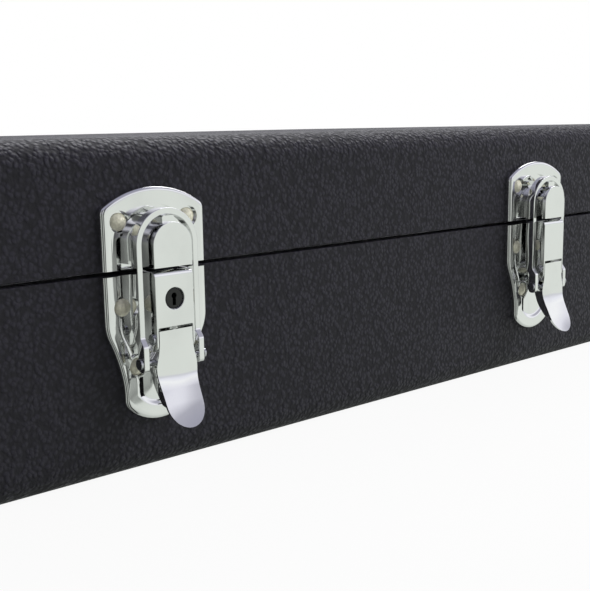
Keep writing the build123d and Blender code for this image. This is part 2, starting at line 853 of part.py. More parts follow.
def hinge_leaves(up, owned, bore):
    """The leaves on the lid (up = 1) or the base (up = -1), with the knuckles they own."""
    others = [n for n in range(hinge_knuckles) if n not in owned]
    with BuildPart() as leaf:
        with BuildSketch(back_wall) as outline:
            with Locations((0, up * (seam_gap / 2 + hinge_leaf) / 2)):
                Rectangle(hinge_width, hinge_leaf - seam_gap / 2)
            fillet(outline.vertices().group_by(Axis.Y)[-1 if up > 0 else 0], hinge_corner)
        extrude(amount=hinge_sheet)
        for n in owned:
            x = (n + 0.5) * knuckle - hinge_width / 2
            with BuildSketch(back_side.offset(x)):
                with Locations((hinge_axis_out, 0)):
                    Circle(hinge_knuckle_radius)
            extrude(amount=knuckle / 2 - hinge_knuckle_gap / 2, both=True)
        for n in others:
            x = (n + 0.5) * knuckle - hinge_width / 2
            with BuildSketch(back_side.offset(x)):
                with Locations((hinge_axis_out, 0)):
                    Circle(hinge_knuckle_radius + hinge_relief)
            extrude(amount=knuckle / 2 + hinge_knuckle_gap / 2, both=True, mode=Mode.SUBTRACT)
        with BuildSketch(back_side):
            with Locations((hinge_axis_out, 0)):
                Circle(bore)
        extrude(amount=hinge_width, both=True, mode=Mode.SUBTRACT)
        with BuildSketch(back_wall):
            with Locations(*[(x, up * hinge_rivet_height) for x in hinge_rivets]):
                Circle(rivet_hole)
        extrude(amount=hinge_sheet, mode=Mode.SUBTRACT)
    with BuildPart() as group:
        for x in hinge_places:
            add(leaf.part.moved(Location((x, 0, 0))))
    return group.part


lid_knuckles = range(1, hinge_knuckles, 2)
base_knuckles = range(0, hinge_knuckles, 2)
save(hinge_leaves(1, lid_knuckles, hinge_pin_radius + running_gap), "hinge_leaves_lid")
save(hinge_leaves(-1, base_knuckles, hinge_pin_radius), "hinge_leaves_base")

with BuildPart() as hinge_pins:
    for x in hinge_places:
        with BuildSketch(back_side.offset(x)):
            with Locations((hinge_axis_out, 0)):
                Circle(hinge_pin_radius)
        extrude(amount=hinge_width / 2, both=True)
save(hinge_pins.part, "hinge_pins")

# Feet that the case stands on when it is upright, each with one screw
with BuildPart() as foot:
    with BuildSketch(back_wall):
        Circle(foot_base_radius)
    with BuildSketch(back_wall.offset(foot_length)):
        Circle(foot_top_radius)
    loft()
    fillet(foot.faces().sort_by(Axis.Y)[-1].edges(), foot_round)
    with BuildSketch(back_wall):
        Circle(foot_screw_radius)
    extrude(amount=foot_length, mode=Mode.SUBTRACT)
    with BuildSketch(back_wall.offset(foot_screw_seat)):
        Circle(foot_screw_recess_radius)
    extrude(amount=foot_length, mode=Mode.SUBTRACT)

with BuildPart() as feet:
    for x, height in foot_holes:
        add(foot.part.moved(Location((x, 0, height))))
save(feet.part, "feet")
screw_sizes = (foot_screw_radius, foot_screw_head_radius, foot_screw_head)
save(
    rivets(back_wall, foot_holes, foot_screw_seat, base_depth, *screw_sizes), "foot_screws"
)

# Handle: two mounts with lugs, a bent wire in each, and a moulded grip
with BuildPart() as mount:
    with BuildSketch(front_wall):
        with Locations((0, -handle_pivot_height)):
            RectangleRounded(mount_width, mount_length, mount_corner)
    extrude(amount=mount_sheet)
    with BuildSketch(front_side):
        with Locations((handle_pivot_out, -handle_pivot_height)):
            Circle(lug_radius)
        with Locations((0, -handle_pivot_height)):
            Rectangle(handle_pivot_out, 2 * lug_radius, align=(Align.MIN, Align.CENTER))
    extrude(amount=lug_width / 2, both=True)
    with BuildSketch(front_side):
        with Locations((handle_pivot_out, -handle_pivot_height)):
            Circle(handle_wire_radius + running_gap)
    extrude(amount=lug_width, both=True, mode=Mode.SUBTRACT)
    with BuildSketch(front_wall):
        for side in (-1, 1):
            with Locations((0, -handle_pivot_height + side * mount_rivet_spread)):
                Circle(rivet_hole)
    extrude(amount=mount_sheet, mode=Mode.SUBTRACT)

with BuildPart() as handle_mounts:
    for side in (-1, 1):
        add(mount.part.moved(Location((side * mount_place, 0, 0))))
save(handle_mounts.part, "handle_mounts")

# The handle hangs in a plane tilted outwards, whose origin is the pivot line
handle_pivot = front_wall.offset(handle_pivot_out).location * Location((0, -handle_pivot_height, 0))
hang = Plane(handle_pivot * Location((0, 0, 0), (-handle_tilt, 0, 0)))

with BuildPart() as handle_wires:
    for side in (-1, 1):
        with BuildLine():
            FilletPolyline(
                hang.from_local_coords((side * (mount_place - lug_width / 2 - wire_tail), 0, 0)),
                hang.from_local_coords((side * handle_outer, 0, 0)),
                hang.from_local_coords((side * handle_outer, -handle_drop, 0)),
                hang.from_local_coords(
                    (side * (grip_half_length - handle_bore_depth), -handle_drop, 0)
                ),
                radius=handle_wire_bend,
            )
        start = hang.from_local_coords(
            (side * (mount_place - lug_width / 2 - wire_tail), 0, 0)
        )
        with BuildSketch(Plane(origin=start, z_dir=(side, 0, 0))):
            Circle(handle_wire_radius)
        sweep()
save(handle_wires.part, "handle_wires")

with BuildPart() as handle_grip:
    for side in (-1, 1):
        for share in grip_sections:
            reach = side * share * grip_half_length
            fullness = 1 - share * share
            height = grip_end_height + (grip_height - grip_end_height) * fullness
            depth = grip_end_depth + (grip_depth - grip_end_depth) * fullness
            centre = hang.from_local_coords((reach, -handle_drop, 0))
            with BuildSketch(Plane(origin=centre, x_dir=hang.y_dir, z_dir=(1, 0, 0))):
                RectangleRounded(height, depth, depth * grip_round_share)
        loft(ruled=False)
    for side in (-1, 1):
        end = hang.from_local_coords((side * grip_half_length, -handle_drop, 0))
        with BuildSketch(Plane(origin=end, z_dir=(-side, 0, 0))):
            Circle(handle_wire_radius + running_gap)
        extrude(amount=handle_bore_depth, mode=Mode.SUBTRACT)
save(handle_grip.part, "handle_grip")
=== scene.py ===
"""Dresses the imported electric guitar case: vinyl, chrome draw latches, handle and plush interior."""

import json
import logging
import math
from dataclasses import dataclass
from enum import Enum
from functools import cache
from typing import Callable, Iterable, Sequence

import bmesh
import bpy
from mathutils import Matrix, Vector


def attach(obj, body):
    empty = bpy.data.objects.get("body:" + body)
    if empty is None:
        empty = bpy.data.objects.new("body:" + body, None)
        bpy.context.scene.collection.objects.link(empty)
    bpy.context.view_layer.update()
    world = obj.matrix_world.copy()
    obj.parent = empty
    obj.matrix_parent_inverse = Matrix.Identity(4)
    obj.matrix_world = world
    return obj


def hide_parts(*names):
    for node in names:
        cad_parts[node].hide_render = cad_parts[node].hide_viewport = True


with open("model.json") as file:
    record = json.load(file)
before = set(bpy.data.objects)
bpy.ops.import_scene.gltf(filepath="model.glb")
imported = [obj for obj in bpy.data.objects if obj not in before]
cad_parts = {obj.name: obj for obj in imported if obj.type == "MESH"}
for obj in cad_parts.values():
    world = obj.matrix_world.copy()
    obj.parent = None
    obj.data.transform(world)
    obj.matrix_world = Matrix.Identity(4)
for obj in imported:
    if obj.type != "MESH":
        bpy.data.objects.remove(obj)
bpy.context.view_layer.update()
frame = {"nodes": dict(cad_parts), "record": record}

log = logging.getLogger("guitar_case")

Spot = tuple[float, float]
Corner = tuple[float, float, float]
Colour = tuple[float, float, float]
Solid = bmesh.types.BMesh
Socket = bpy.types.NodeSocket
Outputs = bpy.types.bpy_prop_collection
MM = 0.001
UPRIGHT = Matrix.Scale(MM, 4)
SIDEWAYS = Matrix(((0, 0, -1), (0, 1, 0), (1, 0, 0))).to_4x4()
SAME = 1e-4
UNDER, OVER, WIDE = -1.0, 9.0, 25.0


class Wall(Enum):
    """The two long walls that carry hardware, seen square on from outside."""

    FRONT = "front"
    BACK = "back"


class Way(Enum):
    """How a cut or joined solid meets the piece it is used on."""

    CUT = "DIFFERENCE"
    JOIN = "UNION"
    KEEP = "INTERSECT"


class Lock(Enum):
    """Whether a latch can be locked."""

    PLAIN = 0
    KEYED = 1


LATCHES = ((1, -350.0, Lock.PLAIN), (2, -150.0, Lock.PLAIN), (3, 150.0, Lock.KEYED), (4, 350.0, Lock.PLAIN))


# Outlines and sections


def outline(corners: Sequence[Corner], steps: int = 6) -> Solid:
    """Makes one flat face from a few corners, each rounded off.

    Args:
        corners: x, y and the length of edge that the rounding takes, in millimetres.
        steps: Segments in each rounded corner.

    Returns:
        A bmesh that holds the face at z = 0.
    """
    bm = bmesh.new()
    verts = [bm.verts.new((x, y, 0.0)) for x, y, _ in corners]
    bm.faces.new(verts)
    for reach in sorted({c[2] for c in corners if c[2] > 0}):
        chosen = [v for v, c in zip(verts, corners) if c[2] == reach and v.is_valid]
        bmesh.ops.bevel(
            bm, geom=chosen, offset=reach, offset_type="OFFSET", affect="VERTICES",
            segments=steps, profile=0.5, material=-1, clamp_overlap=False,
        )
    bmesh.ops.remove_doubles(bm, verts=bm.verts[:], dist=SAME)
    return bm


def rectangle(x0: float, x1: float, y0: float, y1: float, reach: float) -> list[Corner]:
    """Gives a rounded rectangle's corners."""
    return [(x0, y0, reach), (x1, y0, reach), (x1, y1, reach), (x0, y1, reach)]


def arc(start: Spot, middle: Spot, end: Spot, steps: int) -> list[Corner]:
    """Gives the inner points of the circular arc through three points.

    Args:
        start: Its first point, which isn't in the result.
        middle: A point on it.
        end: Its last point, which isn't in the result.
        steps: The number of chords.

    Returns:
        Plain corners, in order.
    """
    a, b, c = (complex(*point) for point in (start, middle, end))
    w = (c - a) / (b - a)
    centre = a + (b - a) * (w - abs(w) ** 2) / (2j * w.imag)
    first, last = a - centre, c - centre
    sweep = math.atan2((last / first).imag, (last / first).real)
    through = math.atan2(((b - centre) / first).imag, ((b - centre) / first).real)
    if sweep * through < 0 or abs(through) > abs(sweep):
        sweep -= math.copysign(2 * math.pi, sweep)
    points = []
    for k in range(1, steps):
        angle = sweep * k / steps
        spot = centre + first * complex(math.cos(angle), math.sin(angle))
        points.append((spot.real, spot.imag, 0.0))
    return points


def closed_by_arc(right: list[Corner], lowest: float, steps: int) -> list[Corner]:
    """Completes an outline from its right half, with an arc across its foot."""
    left = [(-x, y, reach) for x, y, reach in reversed(right)]
    return right + arc(right[-1][:2], (0, lowest), left[0][:2], steps) + left


def quarter(centre: Spot, radius: float, start: float, end: float, steps: int = 6) -> list[Spot]:
    """Gives the points of a rounding between two angles in degrees, as insets and heights."""
    angles = [math.radians(start + (end - start) * k / steps) for k in range(steps + 1)]
    return [(centre[0] + radius * math.cos(a), centre[1] + radius * math.sin(a)) for a in angles]


def upstand(outer: float, inner: float, low: float, high: float, foot: float, rim: float) -> list[Spot]:
    """Gives the outside and the rim of a padded wall's section, with the radii of its foot and rim."""
    return [
        *quarter((outer + foot, low + foot), foot, 270, 180),
        *quarter((outer + rim, high - rim), rim, 180, 90),
        *quarter((inner - rim, high - rim), rim, 90, 0),
    ]


# Solids


def prism(corners: Sequence[Corner], low: float, high: float, steps: int = 6) -> Solid:
    """Makes a closed straight solid on a rounded outline.

    Args:
        corners: As for outline.
        low: Height of its lower face.
        high: Height of its upper face.
        steps: Segments in each rounded corner.

    Returns:
        The solid, in millimetres.
    """
    bm = outline(corners, steps)
    bmesh.ops.translate(bm, verts=bm.verts[:], vec=(0, 0, low))
    made = bmesh.ops.extrude_face_region(bm, geom=bm.faces[:])
    top = [g for g in made["geom"] if isinstance(g, bmesh.types.BMVert)]
    bmesh.ops.translate(bm, verts=top, vec=(0, 0, high - low))
    bmesh.ops.recalc_face_normals(bm, faces=bm.faces[:])
    return bm


def side_prism(corners: Sequence[Corner], half: float, steps: int) -> Solid:
    """Makes a solid from its side view.

    Args:
        corners: Out, height and rounding of each corner.
        half: Half of its width.
        steps: Segments in each rounded corner.

    Returns:
        The solid, in millimetres.
    """
    bm = prism(corners[::-1], -half, half, steps)
    bmesh.ops.transform(bm, matrix=SIDEWAYS, verts=bm.verts[:])
    bmesh.ops.recalc_face_normals(bm, faces=bm.faces[:])
    return bm


def tube(radius: float, low: float, high: float, at: Spot = (0, 0), steps: int = 40) -> Solid:
    """Makes a closed straight cylinder along z.

    Args:
        radius: Its radius.
        low: Height of its lower end.
        high: Height of its upper end.
        at: Its middle.
        steps: Its sides.

    Returns:
        The cylinder, in millimetres.
    """
    bm = bmesh.new()
    bmesh.ops.create_cone(
        bm, cap_ends=True, segments=steps, radius1=radius, radius2=radius, depth=high - low,
        matrix=Matrix.Translation((*at, (low + high) / 2)),
    )
    return bm


def block(low: Sequence[float], high: Sequence[float]) -> Solid:
    """Makes a plain box.

    Args:
        low: Its lowest corner.
        high: Its highest corner.

    Returns:
        The box, in millimetres.
    """
    bm = bmesh.new()
    size = Matrix.Diagonal([b - a for a, b in zip(low, high)] + [1])
    middle = Matrix.Translation([(a + b) / 2 for a, b in zip(low, high)])
    bmesh.ops.create_cube(bm, size=1, matrix=middle @ size)
    return bm


def level(edge: bmesh.types.BMEdge, axis: int, height: float) -> bool:
    """Says whether both ends of an edge lie at a height on an axis."""
    return all(abs(v.co[axis] - height) < SAME for v in edge.verts)


def round_edges(bm: Solid, test: Callable[[bmesh.types.BMEdge], bool], width: float, steps: int) -> None:
    """Rounds the edges that a test picks."""
    bmesh.ops.bevel(
        bm, geom=[e for e in bm.edges if test(e)], offset=width, offset_type="OFFSET", affect="EDGES",
        segments=steps, profile=0.5, material=-1, clamp_overlap=True,
    )


def slice_across(bm: Solid, axis: int, heights: Iterable[float]) -> None:
    """Cuts a mesh with planes square to an axis, so that it can bend there.

    Args:
        bm: The solid.
        axis: The axis's number.
        heights: Where each plane crosses it.
    """
    normal = Matrix.Identity(3)[axis]
    for height in heights:
        everything = bm.verts[:] + bm.edges[:] + bm.faces[:]
        bmesh.ops.bisect_plane(bm, geom=everything, plane_co=normal * height, plane_no=normal, dist=1e-5)


def to_wall(wall: Wall, x: float = 0.0) -> Matrix:
    """Gives the place on a wall of a solid whose z points outwards.

    Args:
        wall: The wall.
        x: Where along the wall, in millimetres.

    Returns:
        The way from the solid's millimetres to the row frame.
    """
    side = -1 if wall is Wall.FRONT else 1
    turn = Matrix(((-side, 0, 0), (0, 0, side), (0, 1, 0))).to_4x4()
    return UPRIGHT @ Matrix.Translation((x, side * CaseBody.width / 2, CaseBody.seam)) @ turn


# Pieces


def as_mesh(name: str, bm: Solid) -> bpy.types.Mesh:
    """Turns a bmesh into a mesh.

    Args:
        name: The mesh's name.
        bm: The bmesh; it is freed.

    Returns:
        The mesh.
    """
    mesh = bpy.data.meshes.new(name)
    bm.to_mesh(mesh)
    bm.free()
    return mesh


def linked(name: str, data: bpy.types.ID) -> bpy.types.Object:
    """Makes an object in the scene.

    Args:
        name: Its name.
        data: Its mesh, camera or lamp.

    Returns:
        The object.
    """
    obj = bpy.data.objects.new(name, data)
    bpy.context.scene.collection.objects.link(obj)
    return obj


class Piece:
    """A visible piece on its way from its first solid to its finished object."""

    def __init__(self, name: str, bm: Solid) -> None:
        """Starts the piece from a solid in millimetres."""
        self.name = name
        self.obj = linked(name, as_mesh(name, bm))

    def add(self, name: str, kind: str, **settings: object) -> "Piece":
        """Adds a modifier.

        Args:
            name: Its name.
            kind: Its type.
            settings: Its properties.

        Returns:
            The piece itself.
        """
        step = self.obj.modifiers.new(name, kind)
        for key, value in settings.items():
            setattr(step, key, value)
        return self

    def apply(self) -> "Piece":
        """Puts the result of the piece's modifiers into its mesh.

        Returns:
            The piece itself.
        """
        shown = self.obj.evaluated_get(bpy.context.evaluated_depsgraph_get())
        mesh = bpy.data.meshes.new_from_object(shown)
        old = self.obj.data
        self.obj.modifiers.clear()
        self.obj.data = mesh
        bpy.data.meshes.remove(old)
        mesh.name = self.name
        return self

    def combine(self, way: Way, *tools: Solid) -> "Piece":
        """Cuts, joins or keeps by other solids.

        Args:
            way: What the tools do to the piece.
            tools: Closed solids in millimetres; they are used up.

        Returns:
            The piece itself.
        """
        helpers = [linked("tool", as_mesh("tool", tool)) for tool in tools]
        for helper in helpers:
            self.add("combine", "BOOLEAN", operation=way.value, solver="EXACT", object=helper)
        self.apply()
        for helper in helpers:
            bpy.data.objects.remove(helper)
        return self

    def soften(self, width: float, steps: int = 3, angle: float = 30.0) -> "Piece":
        """Rounds every edge that is sharper than an angle in degrees."""
        return self.add(
            "soften", "BEVEL", width=width, segments=steps, limit_method="ANGLE",
            angle_limit=math.radians(angle), use_clamp_overlap=True, miter_outer="MITER_ARC",
        ).apply()

    def foam(self, voxel: float, passes: int, ease: float = 0.0) -> "Piece":
        """Gives a solid the soft edges of covered foam.

        Args:
            voxel: Size of the new even faces, in millimetres.
            passes: Rounds of smoothing.
            ease: How far its top and sides step back, to leave room for the fabric to swell.

        Returns:
            The piece itself.
        """
        self.add("even", "REMESH", mode="VOXEL", voxel_size=voxel).apply()
        bm = bmesh.new()
        bm.from_mesh(self.obj.data)
        for _ in range(passes):
            bmesh.ops.smooth_vert(
                bm, verts=bm.verts[:], factor=0.5, use_axis_x=True, use_axis_y=True, use_axis_z=True
            )
        bm.normal_update()
        back = [(v, v.normal * ease) for v in bm.verts if v.normal.z > -0.5]
        for v, step_back in back:
            v.co -= step_back
        bm.to_mesh(self.obj.data)
        bm.free()
        return self

    def plump(self, cap: float, still: float) -> "Piece":
        """Lets fabric swell over its foam, by a cloth simulation whose result is kept.

        Args:
            cap: The farthest that a point may move, in millimetres.
            still: Height below which the fabric is glued down, or above which it is, if negative.

        Returns:
            The piece itself.
        """
        mesh, scene, frames, foam_push = self.obj.data, bpy.context.scene, 20, 4.0
        first = [v.co.copy() for v in mesh.vertices]
        glued = self.obj.vertex_groups.new(name="glued")
        side = 1 if still > 0 else -1
        glued.add([v.index for v in mesh.vertices if side * v.co.z <= still], 1.0, "REPLACE")
        mesh.transform(UPRIGHT)
        cloth = self.obj.modifiers.new("swell", "CLOTH")
        cloth.settings.use_pressure = True
        cloth.settings.uniform_pressure_force = foam_push
        cloth.settings.vertex_group_mass = "glued"
        cloth.settings.effector_weights.gravity = 0.0
        cloth.point_cache.frame_start, cloth.point_cache.frame_end = 1, frames
        for step in range(1, frames + 1):
            scene.frame_set(step)
        shown = self.obj.evaluated_get(bpy.context.evaluated_depsgraph_get())
        moved = [v.co / MM for v in shown.data.vertices]
        self.obj.modifiers.clear()
        scene.frame_set(1)
        for v, old, new in zip(mesh.vertices, first, moved):
            path = new - old
            v.co = old + path * min(1.0, cap / max(path.length, 1e-9))
        self.obj.vertex_groups.clear()
        return self.add("finer", "SUBSURF", levels=1, render_levels=1).apply()

    def place(
        self, where: Matrix, body: str, slot: str, nodes: Sequence[str],
        smooth_to: float = 40.0, weighted: bool = True,
    ) -> bpy.types.Object:
        """Sets the finished piece in the case.

        Args:
            where: From the piece's millimetres to the row frame.
            body: The CAD body it rides on.
            slot: The record's material slot.
            nodes: The CAD nodes it stands for.
            smooth_to: The angle, in degrees, above which an edge stays sharp.
            weighted: Whether flat faces keep flat shading beside rounded edges.

        Returns:
            The finished object.
        """
        mesh = self.obj.data
        mesh.transform(where)
        mesh.polygons.foreach_set("use_smooth", [True] * len(mesh.polygons))
        mesh.set_sharp_from_angle(angle=math.radians(smooth_to))
        if weighted:
            self.add("even shading", "WEIGHTED_NORMAL", keep_sharp=True, weight=80).apply()
        self.obj.data.materials.clear()
        self.obj.data.materials.append(material_of(slot))
        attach(self.obj, body)
        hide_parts(*nodes)
        log.info("%s: %d faces on %s", self.name, len(self.obj.data.polygons), body)
        return self.obj

    def lay(self, body: str, node: str, fill: float, smooth_to: float = 80.0, weighted: bool = False) -> None:
        """Lays a finished piece of plush in its half; fill, how full its box is, is not used."""
        obj = self.place(UPRIGHT, body, "plush", [node], smooth_to, weighted)


def layered(
    name: str, ring: Callable[[float], list[Corner]], steps: Iterable[Spot], capped: bool = True
) -> Piece:
    """Starts a piece from rings of one outline, taken in by an inset at each height.

    Args:
        name: The piece's name.
        ring: Gives the outline, taken in by an inset.
        steps: The inset and the height of each ring, in order along the surface.
        capped: Whether the first and last rings are closed, or joined to each other.

    Returns:
        The piece.
    """
    bm = bmesh.new()
    loops: list[list[bmesh.types.BMVert]] = []
    for inset, height in steps:
        flat = outline(ring(inset), 8)
        face = flat.faces[:][0]
        loops.append([bm.verts.new((v.co.x, v.co.y, height)) for v in face.verts])
        flat.free()
    for low, high in zip(loops, loops[1:] if capped else loops[1:] + loops[:1]):
        for k, v in enumerate(low):
            n = (k + 1) % len(low)
            bm.faces.new((v, low[n], high[n], high[k]))
    if capped:
        bm.faces.new(loops[0][::-1])
        bm.faces.new(loops[-1])
    bmesh.ops.recalc_face_normals(bm, faces=bm.faces[:])
    return Piece(name, bm)


# Finishes


class Graph:
    """A material's or a group's nodes, made in reading order."""

    def __init__(self, tree: bpy.types.NodeTree) -> None:
        """Wraps a node tree."""
        self.tree = tree

    def feed(self, node: bpy.types.Node, inputs: dict) -> None:
        """Sets some of a node's inputs.

        Args:
            node: The node.
            inputs: Input name or number to a value or to another node's output.
        """
        for key, value in inputs.items():
            socket = node.inputs[key]
            if isinstance(value, Socket):
                self.tree.links.new(value, socket)
            else:
                socket.default_value = value

    def node(self, kind: str, inputs: dict | None = None, **settings: object) -> bpy.types.Node:
        """Adds a node.

        Args:
            kind: The node's type name.
            inputs: As for feed.
            settings: The node's own properties.

        Returns:
            The new node.
        """
        made = self.tree.nodes.new(kind)
        for key, value in settings.items():
            setattr(made, key, value)
        self.feed(made, inputs or {})
        return made

    def noise(self, where: Socket, scale: object, detail: float, out: str = "Fac", **more: float) -> Socket:
        """Adds a noise texture and returns one of its outputs."""
        inputs = {"Vector": where, "Scale": scale, "Detail": detail} | more
        return self.node("ShaderNodeTexNoise", inputs).outputs[out]

    def math(self, operation: str, *values: object) -> Socket:
        """Adds a math node and returns its output."""
        return self.node("ShaderNodeMath", dict(enumerate(values)), operation=operation).outputs[0]

    def vector(self, operation: str, inputs: dict) -> Socket:
        """Adds a vector math node and returns its output."""
        return self.node("ShaderNodeVectorMath", inputs, operation=operation).outputs[0]

    def ramp(self, value: Socket, low: float, high: float, first: float = 0.0, last: float = 1.0) -> Socket:
        """Maps a range of a value smoothly to the range from first to last."""
        inputs = {"Value": value, "From Min": low, "From Max": high, "To Min": first, "To Max": last}
        return self.node("ShaderNodeMapRange", inputs, interpolation_type="SMOOTHSTEP").outputs["Result"]

    def mix(self, share: object, first: object, second: object, blend: str = "MIX") -> Socket:
        """Mixes two colours.

        Args:
            share: The second colour's share.
            first: The first colour.
            second: The second colour.
            blend: How they are mixed.

        Returns:
            The mixed colour.
        """
        first, second = (value if isinstance(value, Socket) else (*value, 1.0) for value in (first, second))
        inputs = {0: share, 6: first, 7: second}
        return self.node("ShaderNodeMix", inputs, data_type="RGBA", blend_type=blend).outputs[2]

    def stretched(self, where: Socket, scale: Colour) -> Socket:
        """Stretches a pattern's coordinates."""
        return self.node("ShaderNodeMapping", {"Vector": where, "Scale": scale}).outputs[0]

    def effect(self, tree: bpy.types.NodeTree, inputs: dict) -> Outputs:
        """Places a shared effect and returns its outputs."""
        return self.node("ShaderNodeGroup", inputs, node_tree=tree).outputs


class Surface(Graph):
    """A material's nodes, with its shader and its object coordinates."""

    def __init__(self, name: str) -> None:
        """Starts a material.

        Args:
            name: Its name.
        """
        self.material = bpy.data.materials.new(name)
        self.material.use_nodes = True
        super().__init__(self.material.node_tree)
        self.shader = self.tree.nodes["Principled BSDF"]
        self.place = self.node("ShaderNodeTexCoord").outputs["Object"]

    def shade(self, inputs: dict) -> None:
        """Sets some of the shader's inputs."""
        self.feed(self.shader, inputs)

    def relief(self, height: Socket, depth: float, strength: float = 1.0) -> None:
        """Feeds a height, whose 1 stands for a depth in metres, into the shader's normal."""
        bump = self.node("ShaderNodeBump", {"Height": height, "Distance": depth, "Strength": strength})
        self.shade({"Normal": bump.outputs["Normal"]})


def new_group(
    name: str, inputs: dict[str, float], outputs: Sequence[str]
) -> tuple[Graph, Outputs, bpy.types.Node]:
    """Starts a shared effect.

    Args:
        name: The group's name.
        inputs: Input names and their first values; a Vector input is always added.
        outputs: Output names, of plain values.

    Returns:
        Its graph, its inputs and its output node.
    """
    tree = bpy.data.node_groups.new(name, "ShaderNodeTree")
    tree.interface.new_socket("Vector", in_out="INPUT", socket_type="NodeSocketVector")
    for key, value in inputs.items():
        socket = tree.interface.new_socket(key, in_out="INPUT", socket_type="NodeSocketFloat")
        socket.default_value = value
    for key in outputs:
        tree.interface.new_socket(key, in_out="OUTPUT", socket_type="NodeSocketFloat")
    graph = Graph(tree)
    given = graph.node("NodeGroupInput").outputs
    return graph, given, graph.node("NodeGroupOutput")


@cache
def pebble_grain() -> bpy.types.NodeTree:
    """Builds the pebble grain of vinyl: rounded cells, creases and a fine tooth.

    Returns:
        The shared group.
    """
    g, given, out = new_group("pebble grain", {"Cells": 800.0, "Crease": 0.5}, ("Height", "Creases"))
    wander = g.noise(given["Vector"], 260.0, 2.0, "Color")
    centred = g.vector("SUBTRACT", {0: wander, 1: (0.5, 0.5, 0.5)})
    shift = g.vector("SCALE", {0: centred, "Scale": 0.0016})
    warped = g.vector("ADD", {0: given["Vector"], 1: shift})
    cells = g.node(
        "ShaderNodeTexVoronoi", {"Vector": warped, "Scale": given["Cells"], "Smoothness": 0.45},
        feature="SMOOTH_F1",
    )
    pebble = g.ramp(cells.outputs["Distance"], 0.15, 0.75, 1.0, 0.0)
    coarse = g.noise(warped, g.math("MULTIPLY", given["Cells"], 0.42), 2.0)
    crease = g.ramp(coarse, 0.35, 0.6)
    tooth = g.noise(given["Vector"], 3600.0, 2.0)
    low = g.math("ADD", pebble, g.math("MULTIPLY", crease, given["Crease"]))
    fine = g.math("MULTIPLY", tooth, 0.2)
    # Creases is 1 on the pebbles and 0 between them; it places the painted crease shade and the rougher
    # creases.
    g.feed(out, {"Height": g.math("ADD", low, fine), "Creases": pebble})
    return g.tree


@cache
def smudged_polish() -> bpy.types.NodeTree:
    """Builds the uneven polish of handled metal: soft smudges and faint ripples.

    Returns:
        The shared group.
    """
    g, given, out = new_group("smudged polish", {"Scale": 60.0}, ("Smudge", "Ripple"))
    cloud = g.noise(given["Vector"], given["Scale"], 3.0)
    drawn = g.stretched(given["Vector"], (1.0, 1.0, 0.12))
    ripple = g.noise(drawn, g.math("MULTIPLY", given["Scale"], 4.0), 1.0)
    g.feed(out, {"Smudge": g.ramp(cloud, 0.45, 0.8), "Ripple": ripple})
    return g.tree


@cache
def plush_nap() -> bpy.types.NodeTree:
    """Builds short plush: brushed patches over a fine fibre.

    Returns:
        The shared group.
    """
    g, given, out = new_group("plush nap", {"Fibre": 2600.0}, ("Nap", "Height"))
    patch = g.noise(given["Vector"], 22.0, 4.0, Distortion=1.2)
    fibre = g.noise(given["Vector"], given["Fibre"], 2.0)
    g.feed(out, {"Nap": g.ramp(patch, 0.3, 0.7), "Height": fibre})
    return g.tree


@dataclass(frozen=True)
class Finish:
    """A plain finish: a name, a colour, a roughness and a metal share."""

    name: str
    colour: Colour
    roughness: float
    metallic: float = 0.0

    def tinted(self, share: float) -> Colour:
        """Gives the colour, made lighter or darker."""
        return tuple(c * share for c in self.colour)

    def build(self) -> bpy.types.Material:
        """Makes the material.

        Returns:
            The material.
        """
        g = Surface(self.name)
        colour = (*self.colour, 1.0)
        g.material.diffuse_color = colour
        g.shade({"Base Color": colour, "Roughness": self.roughness, "Metallic": self.metallic})
        self.dress(g)
        return g.material

    def dress(self, g: Surface) -> None:
        """Gives the material its faint unevenness.

        Args:
            g: Its surface.
        """
        noise = g.noise(g.place, 500.0, 3.0)
        rough = g.ramp(noise, 0.3, 0.7, self.roughness * 0.85, self.roughness * 1.15)
        g.shade({"Roughness": rough})
        g.relief(noise, 0.00004, 0.5)


@dataclass(frozen=True)
class VinylFinish(Finish):
    """Creased pebble-grain vinyl with painted shade in its creases, whose grain gathers at the folded edges.
    """

    # Painted shade: the darker colour laid into the grain's creases.
    crease_shade_colour: Colour = (0.0155, 0.015, 0.0188)
    cells: float = 640.0
    depth: float = 0.00027
    flat_share: float = 0.6
    middle: float = 0.054
    flat_until: float = 0.04
    folded_from: float = 0.05

    def dress(self, g: Surface) -> None:
        """Gives the vinyl its grain, its creases with painted shade in them, and a slow change of tone.

        Args:
            g: Its surface.
        """
        grain = g.effect(pebble_grain(), {"Vector": g.place, "Cells": self.cells, "Crease": 0.7})
        tone = g.ramp(g.noise(g.place, 9.0, 3.0), 0.3, 0.7)
        warm = g.mix(tone, self.colour, self.tinted(1.18))
        # Painted shade: the creases between the pebbles take the darker crease colour.
        g.shade({
            "Base Color": g.mix(grain["Creases"], self.crease_shade_colour, warm),
            "Roughness": g.ramp(grain["Creases"], 0.0, 1.0, self.roughness + 0.18, self.roughness),
            "Specular IOR Level": 0.32,
        })
        height = g.node("ShaderNodeSeparateXYZ", {0: g.place}).outputs["Z"]
        off_middle = g.math("ABSOLUTE", g.math("SUBTRACT", height, self.middle))
        gathered = g.ramp(off_middle, self.flat_until, self.folded_from, self.flat_share, 1.0)
        g.relief(g.math("MULTIPLY", grain["Height"], gathered), self.depth)


